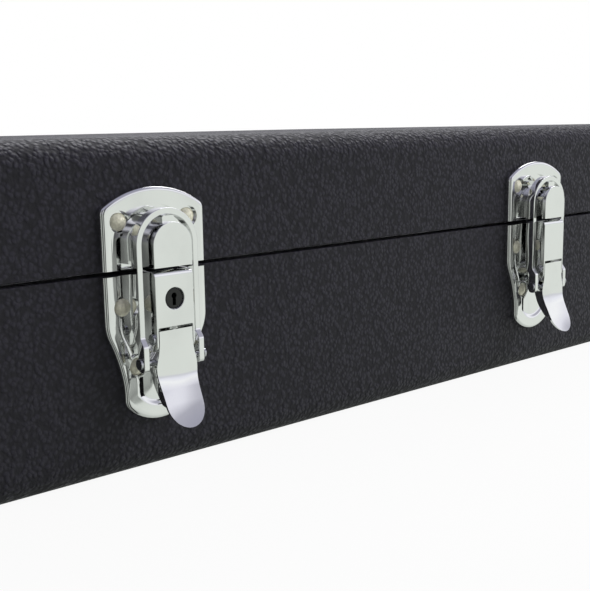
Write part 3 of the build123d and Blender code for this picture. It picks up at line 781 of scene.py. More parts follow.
@dataclass(frozen=True)
class ChromeFinish(Finish):
    """Polished plate with faint smudges, press ripples and the slow waves of pressed sheet."""

    smudge_scale: float = 55.0
    ripple: float = 0.000012
    wave_scale: float = 75.0
    wave: float = 0.0004

    def dress(self, g: Surface) -> None:
        """Gives the metal its smudges, ripples and waves.

        Args:
            g: Its surface.
        """
        polish = g.effect(smudged_polish(), {"Vector": g.place, "Scale": self.smudge_scale})
        g.shade({
            "Base Color": g.mix(polish["Smudge"], self.colour, self.tinted(0.93)),
            "Roughness": g.ramp(polish["Smudge"], 0.0, 1.0, self.roughness, self.roughness + 0.07),
        })
        slow = g.noise(g.place, self.wave_scale, 0.0)
        fine = g.math("MULTIPLY", polish["Ripple"], self.ripple)
        g.relief(g.math("MULTIPLY_ADD", slow, self.wave, fine), 1.0)


@dataclass(frozen=True)
class RivetFinish(Finish):
    """Pale soft metal with small hammer marks."""

    def dress(self, g: Surface) -> None:
        """Gives the metal its pits.

        Args:
            g: Its surface.
        """
        pits = g.node("ShaderNodeTexVoronoi", {"Vector": g.place, "Scale": 1500.0}, feature="SMOOTH_F1")
        tone = g.ramp(pits.outputs["Distance"], 0.1, 0.8)
        g.shade({"Base Color": g.mix(tone, self.colour, self.tinted(0.8))})
        g.relief(pits.outputs["Distance"], 0.00012, 0.8)


@dataclass(frozen=True)
class PlushFinish(Finish):
    """Short brushed plush with a soft sheen."""

    sheen: float = 0.8

    def dress(self, g: Surface) -> None:
        """Gives the plush its nap and its sheen.

        Args:
            g: Its surface.
        """
        nap = g.effect(plush_nap(), {"Vector": g.place})
        g.shade({
            "Base Color": g.mix(nap["Nap"], self.colour, self.tinted(1.7)),
            "Sheen Weight": self.sheen, "Sheen Roughness": 0.4, "Specular IOR Level": 0.2,
        })
        g.relief(nap["Height"], 0.0006, 0.7)


@dataclass(frozen=True)
class PlywoodFinish(Finish):
    """Plain birch ply, with its plies stacked upwards."""

    def dress(self, g: Surface) -> None:
        """Gives the wood its plies.

        Args:
            g: Its surface.
        """
        lines = g.noise(g.stretched(g.place, (6.0, 60.0, 700.0)), 1.0, 4.0)
        g.shade({"Base Color": g.mix(lines, self.colour, self.tinted(0.6))})
        g.relief(lines, 0.0001, 0.5)


@dataclass(frozen=True)
class BrushedFinish(Finish):
    """Metal brushed along the case."""

    def dress(self, g: Surface) -> None:
        """Gives the metal its brushing.

        Args:
            g: Its surface.
        """
        lines = g.noise(g.stretched(g.place, (30.0, 2500.0, 2500.0)), 1.0, 2.0)
        g.shade({"Roughness": g.ramp(lines, 0.3, 0.7, self.roughness * 0.8, self.roughness * 1.3)})
        g.relief(lines, 0.00003, 0.5)


FINISHES: dict[str, Finish] = {
    "covering": VinylFinish("grained black vinyl", (0.0198, 0.0185, 0.0272), 0.46),
    "shell_wood": PlywoodFinish("birch plywood", (0.5, 0.34, 0.19), 0.6),
    "tongue_metal": BrushedFinish("satin aluminium", (0.6, 0.6, 0.61), 0.35, 1.0),
    "plush": PlushFinish("black plush", (0.022, 0.0215, 0.0245), 0.95),
    "latch_chrome": ChromeFinish("latch chrome", (0.9, 0.905, 0.9), 0.06, 1.0),
    "rivet_metal": RivetFinish("pale rivet metal", (0.94, 0.92, 0.74), 0.3, 0.4),
    "steel": BrushedFinish("zinc plated steel", (0.55, 0.56, 0.58), 0.25, 1.0),
    "lock_black": Finish("black lock plug", (0.005, 0.005, 0.005), 0.3),
    # Painted shade: a darker colour in the grip's grain creases.
    "handle_black": VinylFinish(
        "moulded handle", (0.02, 0.02, 0.021), 0.5, crease_shade_colour=(0.012, 0.012, 0.013), cells=1100.0,
        depth=0.0001,
    ),
    "foot_rubber": Finish("foot rubber", (0.018, 0.018, 0.018), 0.7),
}


@cache
def material_of(slot: str) -> bpy.types.Material:
    """Gives the material of a slot in the record, built when it is first asked for."""
    return FINISHES[slot].build()


def dress_cad() -> None:
    """Gives every CAD node the material of its slot."""
    slots = {s["node"]: s["material_slot"] for s in frame["record"]["subparts"]}
    for name, obj in frame["nodes"].items():
        obj.data.materials.clear()
        obj.data.materials.append(material_of(slots[name]))


# Case


@dataclass
class CaseBody:
    """The two halves of the case: vinyl, plywood, plush lining."""

    length: float = 1030.0
    width: float = 350.0
    total: float = 108.0
    seam: float = 66.8
    seam_gap: float = 1.2
    corner: float = 24.0
    edge: float = 9.0
    cover: float = 1.0
    rim_turn: float = 0.4
    glue_gap: float = 0.05
    base_wall: float = 6.0
    lid_wall: float = 5.4
    panel: float = 5.0
    wood_fillet: float = 3.0
    lining_wall: float = 3.0
    lining_below_rim: float = 4.0
    base_lining_gap: float = 1.3
    base_floor_pad: float = 16.0
    base_foot: float = 3.0
    base_soft: float = 0.8
    base_fillet: float = 7.0
    lid_lining_gap: float = 0.1
    lid_floor_pad: float = 14.0
    lid_soft: float = 1.2
    lid_side_gap: float = 0.2
    lid_pad_gap: float = 1.0
    lid_pad_rise: float = 1.4
    lid_pad_swell: float = 1.1
    lid_pad_glued: float = 3.0
    tongue_rise: float = 6.0
    tongue_gap: float = 0.3

    def plan(self, inset: float) -> list[Corner]:
        """Gives the case's rounded plan, inset from its outside."""
        x, y = self.length / 2 - inset, self.width / 2 - inset
        return rectangle(-x, x, -y, y, self.corner - inset)

    def half(self, name: str, floor: float, rim: float, wall: float) -> None:
        """Makes one half's vinyl and plywood.

        Args:
            name: base or lid.
            floor: Height of its closed outside.
            rim: Height of its rim.
            wall: Thickness of its plywood wall.
        """
        inward, depth = (1, rim - floor) if floor < rim else (-1, floor - rim)
        edge, cover, turn, slack, fillet = (
            self.edge, self.cover, self.rim_turn, self.glue_gap, self.wood_fillet
        )
        lip = cover + wall
        vinyl = [
            *quarter((edge, edge), edge, 270, 180, 8), *quarter((turn, depth - turn), turn, 180, 90, 4),
            *quarter((lip - turn, depth - turn), turn, 90, 0, 4), (lip, depth - cover),
            (cover, depth - cover), *quarter((edge, edge), edge - cover, 180, 270, 8),
        ]
        top = depth - cover - slack
        wood = [
            *quarter((edge + slack, edge + slack), edge - cover, 270, 180), (cover + slack, top),
            (lip - slack, top),
            *quarter((lip - slack + fillet, cover + self.panel + fillet), fillet, 180, 270),
        ]
        for coat, section, slot, nodes, smooth_to in (
            ("vinyl", vinyl, "covering", ["covering"], 50.0),
            ("plywood", wood, "shell_wood", ["panel", "frame"], 40.0),
        ):
            piece = layered(f"{name}_{coat}", self.plan, [(i, floor + inward * h) for i, h in section])
            piece.place(UPRIGHT, name, slot, [f"{name}_{node}" for node in nodes], smooth_to)

    def base_lining(self) -> None:
        """Makes the tray of plush in the base."""
        outer = self.cover + self.base_wall + self.base_lining_gap
        inner = self.cover + self.base_wall + self.lining_wall
        floor, rim, fillet = self.cover + self.panel, self.seam - self.lining_below_rim, self.base_fillet
        section = [
            *upstand(outer, inner, floor, rim, self.base_foot, self.base_soft),
            *quarter((inner + fillet, floor + self.base_floor_pad + fillet), fillet, 180, 270, 8),
        ]
        layered("base_plush", self.plan, section).lay("base", "base_lining", 0.9, 60, True)

    def lid_linings(self) -> None:
        """Makes the plush round the lid's sides and its padded ceiling."""
        skin, soft = self.cover + self.lid_wall, self.lid_soft
        outer, inner = skin + self.lid_lining_gap, skin + self.lining_wall
        ceiling = self.total - self.cover - self.panel
        low = self.seam + self.tongue_rise + self.tongue_gap
        high = ceiling - self.lid_floor_pad - self.lid_side_gap
        section = [
            *upstand(outer, inner, low, high, soft, soft), *quarter((inner - soft, low + soft), soft, 0, -90),
        ]
        layered("lid_side_plush", self.plan, section, False).lay("lid", "lid_side_lining", 0.9, 60, True)
        pad = prism(self.plan(skin + self.lid_pad_gap), high + self.lid_pad_rise, ceiling, 7)
        panel = Piece("lid_plush", pad).foam(6.0, 4)
        panel.plump(self.lid_pad_swell, self.lid_pad_glued - ceiling).lay("lid", "lid_lining", 0.9)

    def build(self) -> None:
        """Makes both halves and their linings."""
        self.half("base", 0.0, self.seam - self.seam_gap / 2, self.base_wall)
        self.half("lid", self.total, self.seam + self.seam_gap / 2, self.lid_wall)
        self.base_lining()
        self.lid_linings()


@dataclass
class Interior:
    """The foam pads and the accessory box in the base."""

    half_x: float = 504.7
    half_y: float = 164.7
    floor: float = 22.0
    height: float = 36.0
    pad_round: float = 5.0
    tail: float = 8.0
    lower_bout: float = 157.0
    upper_bout: float = 140.0
    waist_half: float = 118.0
    pocket_length: float = 450.0
    neck_half: float = 60.0
    neck_start: float = 38.0
    rest_start: float = 190.0
    rest_length: float = 42.0
    rest_round: float = 3.0
    notch: float = 34.0
    notch_lift: float = 9.0
    head_pad: float = 32.0
    side_end: float = 472.4
    box_end: float = 320.0
    box_wall: float = 4.0
    box_floor: float = 3.0
    box_soft: float = 1.4
    box_fillet: float = 3.0
    box_corner: float = 2.0
    gap: float = 0.3
    ease: float = 1.3
    swell: float = 1.4
    glued: float = 3.0

    def pad(
        self, name: str, node: str, sides: Sequence[float], reach: float, *cuts: Solid,
        voxel: float = 4.0, passes: int = 6,
    ) -> None:
        """Makes a pad of covered foam.

        Args:
            name: The piece's name, without its ending.
            node: The CAD node it stands for.
            sides: Its least and greatest x, and its least and greatest y.
            reach: The rounding of its corners.
            cuts: What is cut out of it.
            voxel: As for foam.
            passes: As for foam.
        """
        corners = rectangle(*sides, reach)
        piece = Piece(f"{name}_plush", prism(corners, self.floor, self.floor + self.height))
        if cuts:
            piece.combine(Way.CUT, *cuts)
        piece.foam(voxel, passes, self.ease).plump(self.swell, self.floor + self.glued)
        piece.lay("base", node, 0.8)

    def bouts(self) -> None:
        """Makes the two halves of the body pocket."""
        low, high = self.floor - OVER, self.floor + self.height + OVER
        tail, neck = self.tail - self.half_x, self.neck_start + OVER
        lower = tail + self.lower_bout
        upper = tail + self.pocket_length - self.upper_bout
        for side, name in ((-1, "bout_pad_front"), (1, "bout_pad_rear")):
            near, far = sorted((side * 0.05, side * self.half_y))
            self.pad(
                name, name, (-self.half_x, self.neck_start, near, far), self.pad_round,
                tube(self.lower_bout, low, high, (lower, 0), 96),
                tube(self.upper_bout, low, high, (upper, 0), 96),
                block((lower, -self.waist_half, low), (upper, self.waist_half, high)),
                block((upper, -self.neck_half, low), (neck, self.neck_half, high)),
            )

    def neck(self) -> None:
        """Makes the pads beside, under and beyond the neck."""
        start, near = self.neck_start + self.gap, self.neck_half + self.gap
        self.pad("neck_side", "neck_side_pad", (start, self.side_end, near, self.half_y), self.pad_round)
        notch = tube(self.notch, -self.neck_half, self.neck_half, steps=64)
        turn = Matrix.Rotation(math.radians(90), 4, "Y")
        middle = self.rest_start + self.rest_length / 2
        spot = Matrix.Translation((middle, 0, self.floor + self.height + self.notch_lift))
        bmesh.ops.transform(notch, matrix=spot @ turn, verts=notch.verts[:])
        rest = (self.rest_start, self.rest_start + self.rest_length, -self.neck_half, self.neck_half)
        self.pad("neck_rest", "neck_rest", rest, self.rest_round, notch, voxel=2.5, passes=5)
        head = (self.half_x - self.head_pad, self.half_x, -self.half_y, self.half_y)
        self.pad("headstock", "headstock_pad", head, self.pad_round)

    def box_plan(self, inset: float) -> list[Corner]:
        """Gives the accessory box's rounded plan.

        Args:
            inset: How far it is taken in from the box's outside.

        Returns:
            The plan's corners.
        """
        x0, x1 = self.neck_start + self.gap + inset, self.box_end - inset
        y0, y1 = inset - self.half_y, -self.neck_half - self.gap - inset
        return rectangle(x0, x1, y0, y1, self.box_corner + 0.4 * inset)

    def box(self) -> None:
        """Makes the open accessory box."""
        wall, low, soft, fillet = self.box_wall, self.floor, self.box_soft, self.box_fillet
        section = [
            *upstand(0.0, wall, low, low + self.height, soft, soft),
            *quarter((wall + fillet, low + self.box_floor + fillet), fillet, 180, 270),
        ]
        layered("accessory_box_plush", self.box_plan, section).lay("base", "accessory_box", 1.0, 60, True)

    def build(self) -> None:
        """Makes every pad and the box."""
        self.bouts()
        self.neck()
        self.box()


# Latches


@dataclass
class Latch:
    """One draw latch. Heights are from the seam's middle, outs from the vinyl."""

    number: int
    x: float
    lock: Lock
    sheet: float = 1.2
    rim: float = 2.3
    half: float = 19.0
    seam_edge: float = 0.9
    shoulder: float = 19.6
    crown: float = 26.0
    kink: float = 18.5
    kink_reach: float = 2.6
    waist: Corner = (15.3, -26.4, 5.0)
    foot: Spot = (13.1, 42.3)
    foot_start: float = -36.0
    bottom: float = 48.8
    nose: float = 1.25
    beyond: float = 8.0
    rolled: tuple[Spot, ...] = (
        (0.0, 0.02), (0.0, 1.25), (0.1, 1.62), (0.35, 1.96), (0.75, 2.2), (1.2, 2.3), (2.2, 2.28),
    )
    keeper_field: Spot = (3.4, 2.22)
    pan: tuple[Spot, ...] = (
        (4.2, 2.24), (4.7, 2.15), (5.2, 1.85), (5.6, 1.5), (6.1, 1.26), (6.5, 1.2),
    )
    recess: tuple[Corner, ...] = ((14.2, -3.0, 0.0), (14.2, 11.4, 2.0))
    arch_recess: float = 12.2
    hump_half: float = 7.1
    hump_centre: float = 8.4
    hump_bottom: float = 1.7
    hump_round: float = 2.1
    hook_half: float = 2.2
    hook_rise: float = 1.85
    hook_outs: Spot = (3.0, 9.9)
    front: float = 12.0
    ring: float = 4.0
    ring_hole: float = 3.1
    ring_rise: float = 0.7
    slot_off: float = 6.8
    slot_half: float = 0.8
    slot_heights: Spot = (-40.4, -33.9)
    ears: tuple[Corner, ...] = ((12.0, 0.5, 0), (12.0, -24.5, 2.2), (5.0, -24.5, 1.5))
    ear_start: float = -17.0
    channel_sheet: float = 0.8
    lever_side: tuple[Corner, ...] = (
        (6.15, -24.4, 3.0), (7.8, -29.3, 2.4), (6.95, -34.6, 3.0), (6.7, -41.2, 0.0),
    )
    lever_top: float = -17.9
    lever_tip: float = -47.8
    lever_sheet: float = 1.0
    bend: float = -33.0
    bend_half: float = 3.5
    slope: float = 0.43
    cup: float = 0.014
    flare: float = 0.028
    flare_start: float = -41.0
    tip_slices: tuple[float, ...] = (-38.5, -40.5, -42.5, -44.5, -46.0, -47.0)
    cup_slices: tuple[float, ...] = (-4.8, -2.4, 0.0, 2.4, 4.8)
    flange: tuple[Corner, ...] = (
        (7.4, -18.2, 1.2), (11.5, -18.2, 0), (11.5, -33.0, 0), (14.9, -41.3, 0.3),
        (12.9, -40.9, 0.6), (9.2, -36.0, 2.0), (8.0, -31.2, 1.6), (7.4, -28.5, 1.2),
    )
    bail_half: float = 9.3
    bail_strip: float = 2.0
    bail_low: float = -30.6
    bail_back: float = 5.5
    bail_depth: float = 3.6
    bail_step: float = 1.8
    step_start: float = -19.7
    step_length: float = 2.9
    step_slices: tuple[float, ...] = (-19.2, -19.7, -20.4, -21.9, -22.6, -23.1)
    dimple: float = 3.5
    plug_radius: float = 3.3
    plug_height: float = -8.2
    keeper_rivets: tuple[Spot, ...] = ((-12.6, 15.7), (12.6, 15.7))
    plate_rivets: tuple[Spot, ...] = ((-12.4, -10.9), (12.4, -10.9), (-8.2, -30.4), (8.2, -30.4))

    def put(self, piece: Piece, body: str, part: str, smooth_to: float = 38.0) -> None:
        """Sets one of the latch's pieces on the front wall."""
        where = to_wall(Wall.FRONT, self.x)
        piece.place(where, body, "latch_chrome", [f"latch_{self.number}_{part}"], smooth_to)

    def dimples(self, radius: float, places: Iterable[Spot]) -> list[Solid]:
        """Makes the round tools that sink a plate's rivet seats."""
        return [tube(radius, self.sheet - 0.01, OVER, spot, 32) for spot in places]

    def keeper_outline(self, inset: float) -> list[Corner]:
        """Gives the keeper plate's outline, taken in at its sides and its arch.

        Args:
            inset: How far it is taken in.

        Returns:
            The outline's corners.
        """
        wide, low, nose = self.half - inset, inset - self.beyond, self.nose - 0.15 * inset
        shoulder = self.shoulder - 0.35 * inset
        arch = arc((wide, shoulder), (0, self.crown - inset), (-wide, shoulder), 24)
        straight = [(-wide, low, nose), (wide, low, nose), (wide, shoulder, nose)]
        return straight + arch + [(-wide, shoulder, nose)]

    def keeper(self) -> None:
        """Makes the arched plate on the lid, its hump and its hook."""
        name = f"latch_{self.number}_keeper_plate"
        piece = layered(name, self.keeper_outline, [*self.rolled, self.keeper_field])
        low, high = self.recess
        recess = prism([(-low[0], *low[1:]), low, high, (-high[0], *high[1:])], self.sheet, self.rim + 3)
        round_edges(recess, lambda e: level(e, 2, self.sheet), 0.55, 3)
        piece.combine(
            Way.CUT,
            block((-WIDE, -self.beyond - 2, UNDER), (WIDE, self.seam_edge, OVER)),
            recess,
            tube(self.arch_recess, self.sheet, OVER, (0, self.hump_centre), 64),
            *self.dimples(self.dimple, self.keeper_rivets),
        )
        half, bottom, top = self.hump_half, self.hump_bottom, self.hump_centre + self.hump_half
        reach, hook, tip = self.hump_half - 0.005, self.hook_half, top + self.hook_rise
        corners = [(-half, bottom, 0), (half, bottom, 0), (half, top, reach), (-half, top, reach)]
        hump = prism(corners, 0.6, self.front, 14)
        round_edges(
            hump, lambda e: level(e, 2, self.front) and not level(e, 1, bottom), self.hump_round, 6
        )
        corners = [(-hook, top - 2, 0), (hook, top - 2, 0), (hook, tip, 0.7), (-hook, tip, 0.7)]
        piece.combine(Way.JOIN, hump, prism(corners, *self.hook_outs, 3))
        self.put(piece.soften(0.28, 3), "lid", "keeper")

    def plate_outline(self, inset: float) -> list[Corner]:
        """Gives the base plate's outline, taken in all round.

        Args:
            inset: How far it is taken in.

        Returns:
            The outline's corners.
        """
        wide, foot, nose = self.half - inset, self.foot[0] - inset, self.nose - 0.15 * inset
        right = [
            (wide, self.beyond - inset, nose), (wide, -self.kink, self.kink_reach),
            (self.waist[0] - inset, *self.waist[1:]), (foot, self.foot_start, 3.2 - 0.25 * inset),
            (foot, 0.55 * inset - self.foot[1], nose),
        ]
        return closed_by_arc(right, inset - self.bottom, 16)

    def plate(self) -> None:
        """Makes the plate on the base, with its long pan, slots and rivet rings."""
        name = f"latch_{self.number}_base_plate"
        piece = layered(name, self.plate_outline, [*self.rolled, *self.pan])
        upper, lower = self.plate_rivets[:2], self.plate_rivets[2:]
        off_top = block((-WIDE, -self.seam_edge, UNDER), (WIDE, self.beyond + 2, OVER))
        piece.combine(Way.CUT, off_top, *self.dimples(self.dimple, upper))
        rings = []
        for spot in lower:
            high = self.sheet + self.ring_rise
            ring = tube(self.ring, self.sheet - 0.4, high, spot, 36)
            round_edges(ring, lambda e: level(e, 2, high), 0.35, 3)
            rings.append(ring)
        piece.combine(Way.JOIN, *rings)
        low, high = self.slot_heights
        slots = [
            block((x - self.slot_half, low, UNDER), (x + self.slot_half, high, OVER))
            for x in (-self.slot_off, self.slot_off)
        ]
        piece.combine(Way.CUT, *self.dimples(self.ring_hole, lower), *slots)
        self.put(piece.soften(0.22, 2), "base", "plate")

    def housing(self) -> None:
        """Makes the channel and ears that carry the lever."""
        back, top = self.rim - 0.02, self.ears[0][1]
        body = side_prism([(back, top, 0), *self.ears, (back, self.ear_start, 0)], self.hump_half, 6)
        round_edges(body, lambda e: level(e, 1, top) and level(e, 2, self.front), 1.6, 2)
        piece = Piece(f"latch_{self.number}_housing_shell", body)
        inner = self.hump_half - self.channel_sheet
        piece.combine(
            Way.CUT,
            block((-inner, -40, UNDER), (inner, -1.6, self.front - self.channel_sheet)),
            block((-inner, -2.0, UNDER), (inner, 3.0, self.front - 3 * self.channel_sheet)),
            block((-inner, -40, UNDER), (inner, self.ear_start, self.front + 5)),
        )
        if self.lock is Lock.KEYED:
            piece.combine(Way.CUT, tube(self.plug_radius + 0.12, 4, 20, (0, self.plug_height), 48))
        self.put(piece.soften(0.3, 3), "base", "housing")

    def lever_outline(self, inset: float, top: float) -> list[Corner]:
        """Gives the lever's front outline, taken in at its sides.

        Args:
            inset: How far it is taken in.
            top: Height of its top.

        Returns:
            The outline's corners.
        """
        right = [(x - inset, y, reach) for x, y, reach in self.lever_side]
        return closed_by_arc([(right[0][0], top, 0), *right], inset + self.lever_tip, 18)

    def lever(self) -> None:
        """Makes the lever: a plate that bends out to a spoon, with folded flanges."""
        top, curl = self.lever_top, self.bend + self.bend_half
        leaf = prism(self.lever_outline(0, top), self.front - self.lever_sheet, self.front, 5)
        slice_across(leaf, 1, [*(curl - 0.7 * i for i in range(11)), *self.tip_slices])
        slice_across(leaf, 0, self.cup_slices)
        for v in leaf.verts:
            past = max(0.0, curl - v.co.y)
            bent = past * past / (4 * self.bend_half) if past < 2 * self.bend_half else past - self.bend_half
            cupped = self.cup * max(0.0, self.bend - v.co.y) / 12 * v.co.x * v.co.x
            v.co.z += self.slope * bent + cupped + self.flare * max(0.0, self.flare_start - v.co.y) ** 2
        piece = Piece(f"latch_{self.number}_lever_plate", leaf)
        flanges = Piece("flanges", side_prism(self.flange, self.hump_half + 1.4, 4))
        flanges.combine(Way.KEEP, prism(self.lever_outline(0.02, top - 0.1), 0, 30, 5))
        flanges.combine(Way.CUT, prism(self.lever_outline(0.92, top + 3), 0, 30, 5))
        folded = bmesh.new()
        folded.from_mesh(flanges.obj.data)
        bpy.data.objects.remove(flanges.obj)
        piece.combine(Way.JOIN, folded)
        self.put(piece.soften(0.36, 3, 32), f"latch_{self.number}_lever", "lever", 45)

    def bail(self) -> None:
        """Makes the U of strip that pulls on the hook."""
        inner, outer = self.bail_half, self.bail_half + self.bail_strip
        crown, low = self.hump_centre, self.bail_low
        corners = [
            (-outer, low, 0), (-inner, low, 0), (-inner, crown + inner, inner - 0.005),
            (inner, crown + inner, inner - 0.005), (inner, low, 0), (outer, low, 0),
            (outer, crown + outer, outer - 0.005), (-outer, crown + outer, outer - 0.005),
        ]
        bm = prism(corners[::-1], self.bail_back, self.bail_back + self.bail_depth, 16)
        slice_across(bm, 1, self.step_slices)
        for v in bm.verts:
            share = min(1.0, max(0.0, (self.step_start - v.co.y) / self.step_length))
            v.co.z += self.bail_step * share * share * (3 - 2 * share)
        round_edges(bm, lambda e: level(e, 1, low) and level(e, 2, e.verts[0].co.z), 1.4, 5)
        piece = Piece(f"latch_{self.number}_bail_strip", bm).soften(0.55, 4, 50)
        self.put(piece, f"latch_{self.number}_bail", "bail")

    def build(self) -> None:
        """Makes the latch's pieces."""
        for make in (self.keeper, self.plate, self.housing, self.lever, self.bail):
            make()


@dataclass
class KeyPlug:
    """The black plug of the lock, with its keyway."""

    front: float = 11.6
    back: float = 4.0
    bulge: float = 0.95
    bulge_rise: float = 0.8
    slot_half: float = 0.62
    slot_bottom: float = 2.2

    def build(self) -> None:
        """Makes the plug with a keyhole-shaped keyway."""
        middle, low, high = Latch.plug_height, self.front - 5, self.front + 2
        bm = tube(Latch.plug_radius, self.back, self.front, (0, middle), 48)
        round_edges(bm, lambda e: level(e, 2, self.front), 0.45, 4)
        piece = Piece("lock_plug_face", bm)
        bulge = middle + self.bulge_rise
        slot = block((-self.slot_half, middle - self.slot_bottom, low), (self.slot_half, bulge, high))
        piece.combine(Way.CUT, tube(self.bulge, low, high, (0, bulge), 24), slot)
        places = [x for _, x, lock in LATCHES if lock is Lock.KEYED]
        piece.place(to_wall(Wall.FRONT, places[0]), "key", "lock_black", ["key_plug"])


@dataclass
class Rivets:
    """Groups of dome-headed rivets."""

    head_radius: float = 2.8
    head: float = 1.4
    head_edge: float = 0.25
    shank: float = 1.5
    dome_steps: int = 7
    lid_depth: float = 5.9
    base_depth: float = 6.5
    leaf: float = 1.4
    hinge_places: tuple[float, ...] = (-350.0, 0.0, 350.0)
    hinge_pitch: float = 17.0

    def dome(self, at: Spot, seat: float, depth: float) -> Solid:
        """Spins one rivet.

        Args:
            at: Its place on the wall.
            seat: How far out its head sits.
            depth: How deep its shank goes into the wall.

        Returns:
            The rivet, in millimetres.
        """
        bm = bmesh.new()
        rim, top, edge, shank = self.head_radius, self.head, self.head_edge, self.shank
        points = [(0, -depth - seat), (shank, -depth - seat), (shank, 0), (rim, 0), (rim, edge)]
        sweep = 2 * math.atan2(top - edge, rim)
        radius = rim / math.sin(sweep)
        for k in range(self.dome_steps - 1, -1, -1):
            angle = sweep * k / self.dome_steps
            points.append((radius * math.sin(angle), top - radius * (1 - math.cos(angle))))
        verts = [bm.verts.new((r, 0, z)) for r, z in points]
        edges = [bm.edges.new(pair) for pair in zip(verts, verts[1:])]
        bmesh.ops.spin(
            bm, geom=verts + edges, axis=(0, 0, 1), cent=(0, 0, 0), steps=28,
            angle=2 * math.pi, use_merge=True,
        )
        bmesh.ops.remove_doubles(bm, verts=bm.verts[:], dist=SAME)
        bmesh.ops.recalc_face_normals(bm, faces=bm.faces[:])
        bmesh.ops.translate(bm, verts=bm.verts[:], vec=(*at, seat))
        return bm

    def group(self, node: str, body: str, wall: Wall, seat: float, places: Iterable[Spot]) -> None:
        """Makes a group of rivets on one wall.

        Args:
            node: The CAD node they stand for.
            body: The half they ride on.
            wall: The wall.
            seat: How far out their heads sit.
            places: Their places on it.
        """
        depth = self.lid_depth if body == "lid" else self.base_depth
        bm = bmesh.new()
        for at in places:
            mesh = as_mesh("rivet", self.dome(at, seat, depth))
            bm.from_mesh(mesh)
            bpy.data.meshes.remove(mesh)
        Piece(f"{node}_heads", bm).place(to_wall(wall), body, "rivet_metal", [node], 35, False)

    def build(self) -> None:
        """Sets the rivets of the latches, the hinges and the handle."""
        for half, spots in (("lid", Latch.keeper_rivets), ("base", Latch.plate_rivets)):
            places = [(x + dx, y) for _, x, _ in LATCHES for dx, y in spots]
            self.group(f"rivets_latch_{half}", half, Wall.FRONT, Latch.sheet, places)
        steps = (-self.hinge_pitch, 0.0, self.hinge_pitch)
        for half, height in (("lid", self.hinge_pitch), ("base", -self.hinge_pitch)):
            places = [(x + dx, height) for x in self.hinge_places for dx in steps]
            self.group(f"rivets_hinge_{half}", half, Wall.BACK, self.leaf, places)
        self.group("rivets_handle", "base", Wall.FRONT, Handle.mount_sheet, [
            (x, d - Handle.pivot_height)
            for x in (-Handle.mount_half, Handle.mount_half)
            for d in (-Handle.mount_rivet, Handle.mount_rivet)
        ])


@dataclass
class Handle:
    """The moulded grip, which hangs tilted from its two wires."""

    pivot_out: float = 7.5
    pivot_height: float = 24.0
    mount_half: float = 62.0
    mount_rivet: float = 13.0
    mount_sheet: float = 1.6
    drop: float = 25.0
    tilt: float = 9.0
    half: float = 60.0
    height: float = 23.0
    depth: float = 17.0
    end_height: float = 16.0
    end_depth: float = 13.0
    end_pinch: float = 0.86
    squareness: float = 2.6
    stations: tuple[float, ...] = (0.04, 0.3, 0.55, 0.75, 0.9, 0.97, 1.0)

    def build(self) -> None:
        """Makes the grip ring by ring, then smooths it."""
        bm = bmesh.new()
        start = Matrix.Rotation(math.radians(90), 4, "Y")
        bmesh.ops.create_circle(bm, cap_ends=True, cap_tris=False, segments=12, radius=1.0, matrix=start)
        shares = [-s for s in reversed(self.stations)] + list(self.stations)
        loops: list[list[bmesh.types.BMVert]] = [bm.verts[:]]
        faces = bm.faces[:]
        for _ in shares[1:]:
            made = bmesh.ops.extrude_face_region(bm, geom=faces)
            faces = [g for g in made["geom"] if isinstance(g, bmesh.types.BMFace)]
            loops.append([g for g in made["geom"] if isinstance(g, bmesh.types.BMVert)])
        power = self.squareness
        for share, loop in zip(shares, loops):
            full = 1 - share * share
            pinch = self.end_pinch if abs(share) == 1.0 else 1.0
            tall = pinch * (self.end_height + (self.height - self.end_height) * full) / 2
            deep = pinch * (self.end_depth + (self.depth - self.end_depth) * full) / 2
            for v in loop:
                x, y, z = v.co
                square = (abs(y) ** power + abs(z) ** power) ** (-1 / power)
                v.co = (share * self.half, y * tall * square, z * deep * square)
        bmesh.ops.recalc_face_normals(bm, faces=bm.faces[:])
        piece = Piece("handle_grip_moulded", bm).add("smooth", "SUBSURF", levels=3, render_levels=3).apply()
        hang = Matrix.Translation((0, -self.pivot_height, self.pivot_out))
        turn = Matrix.Rotation(math.radians(-self.tilt), 4, "X")
        where = to_wall(Wall.FRONT) @ hang @ turn @ Matrix.Translation((0, -self.drop, 0))
        piece.place(where, "handle", "handle_black", ["handle_grip"], 60, False)


# Stage


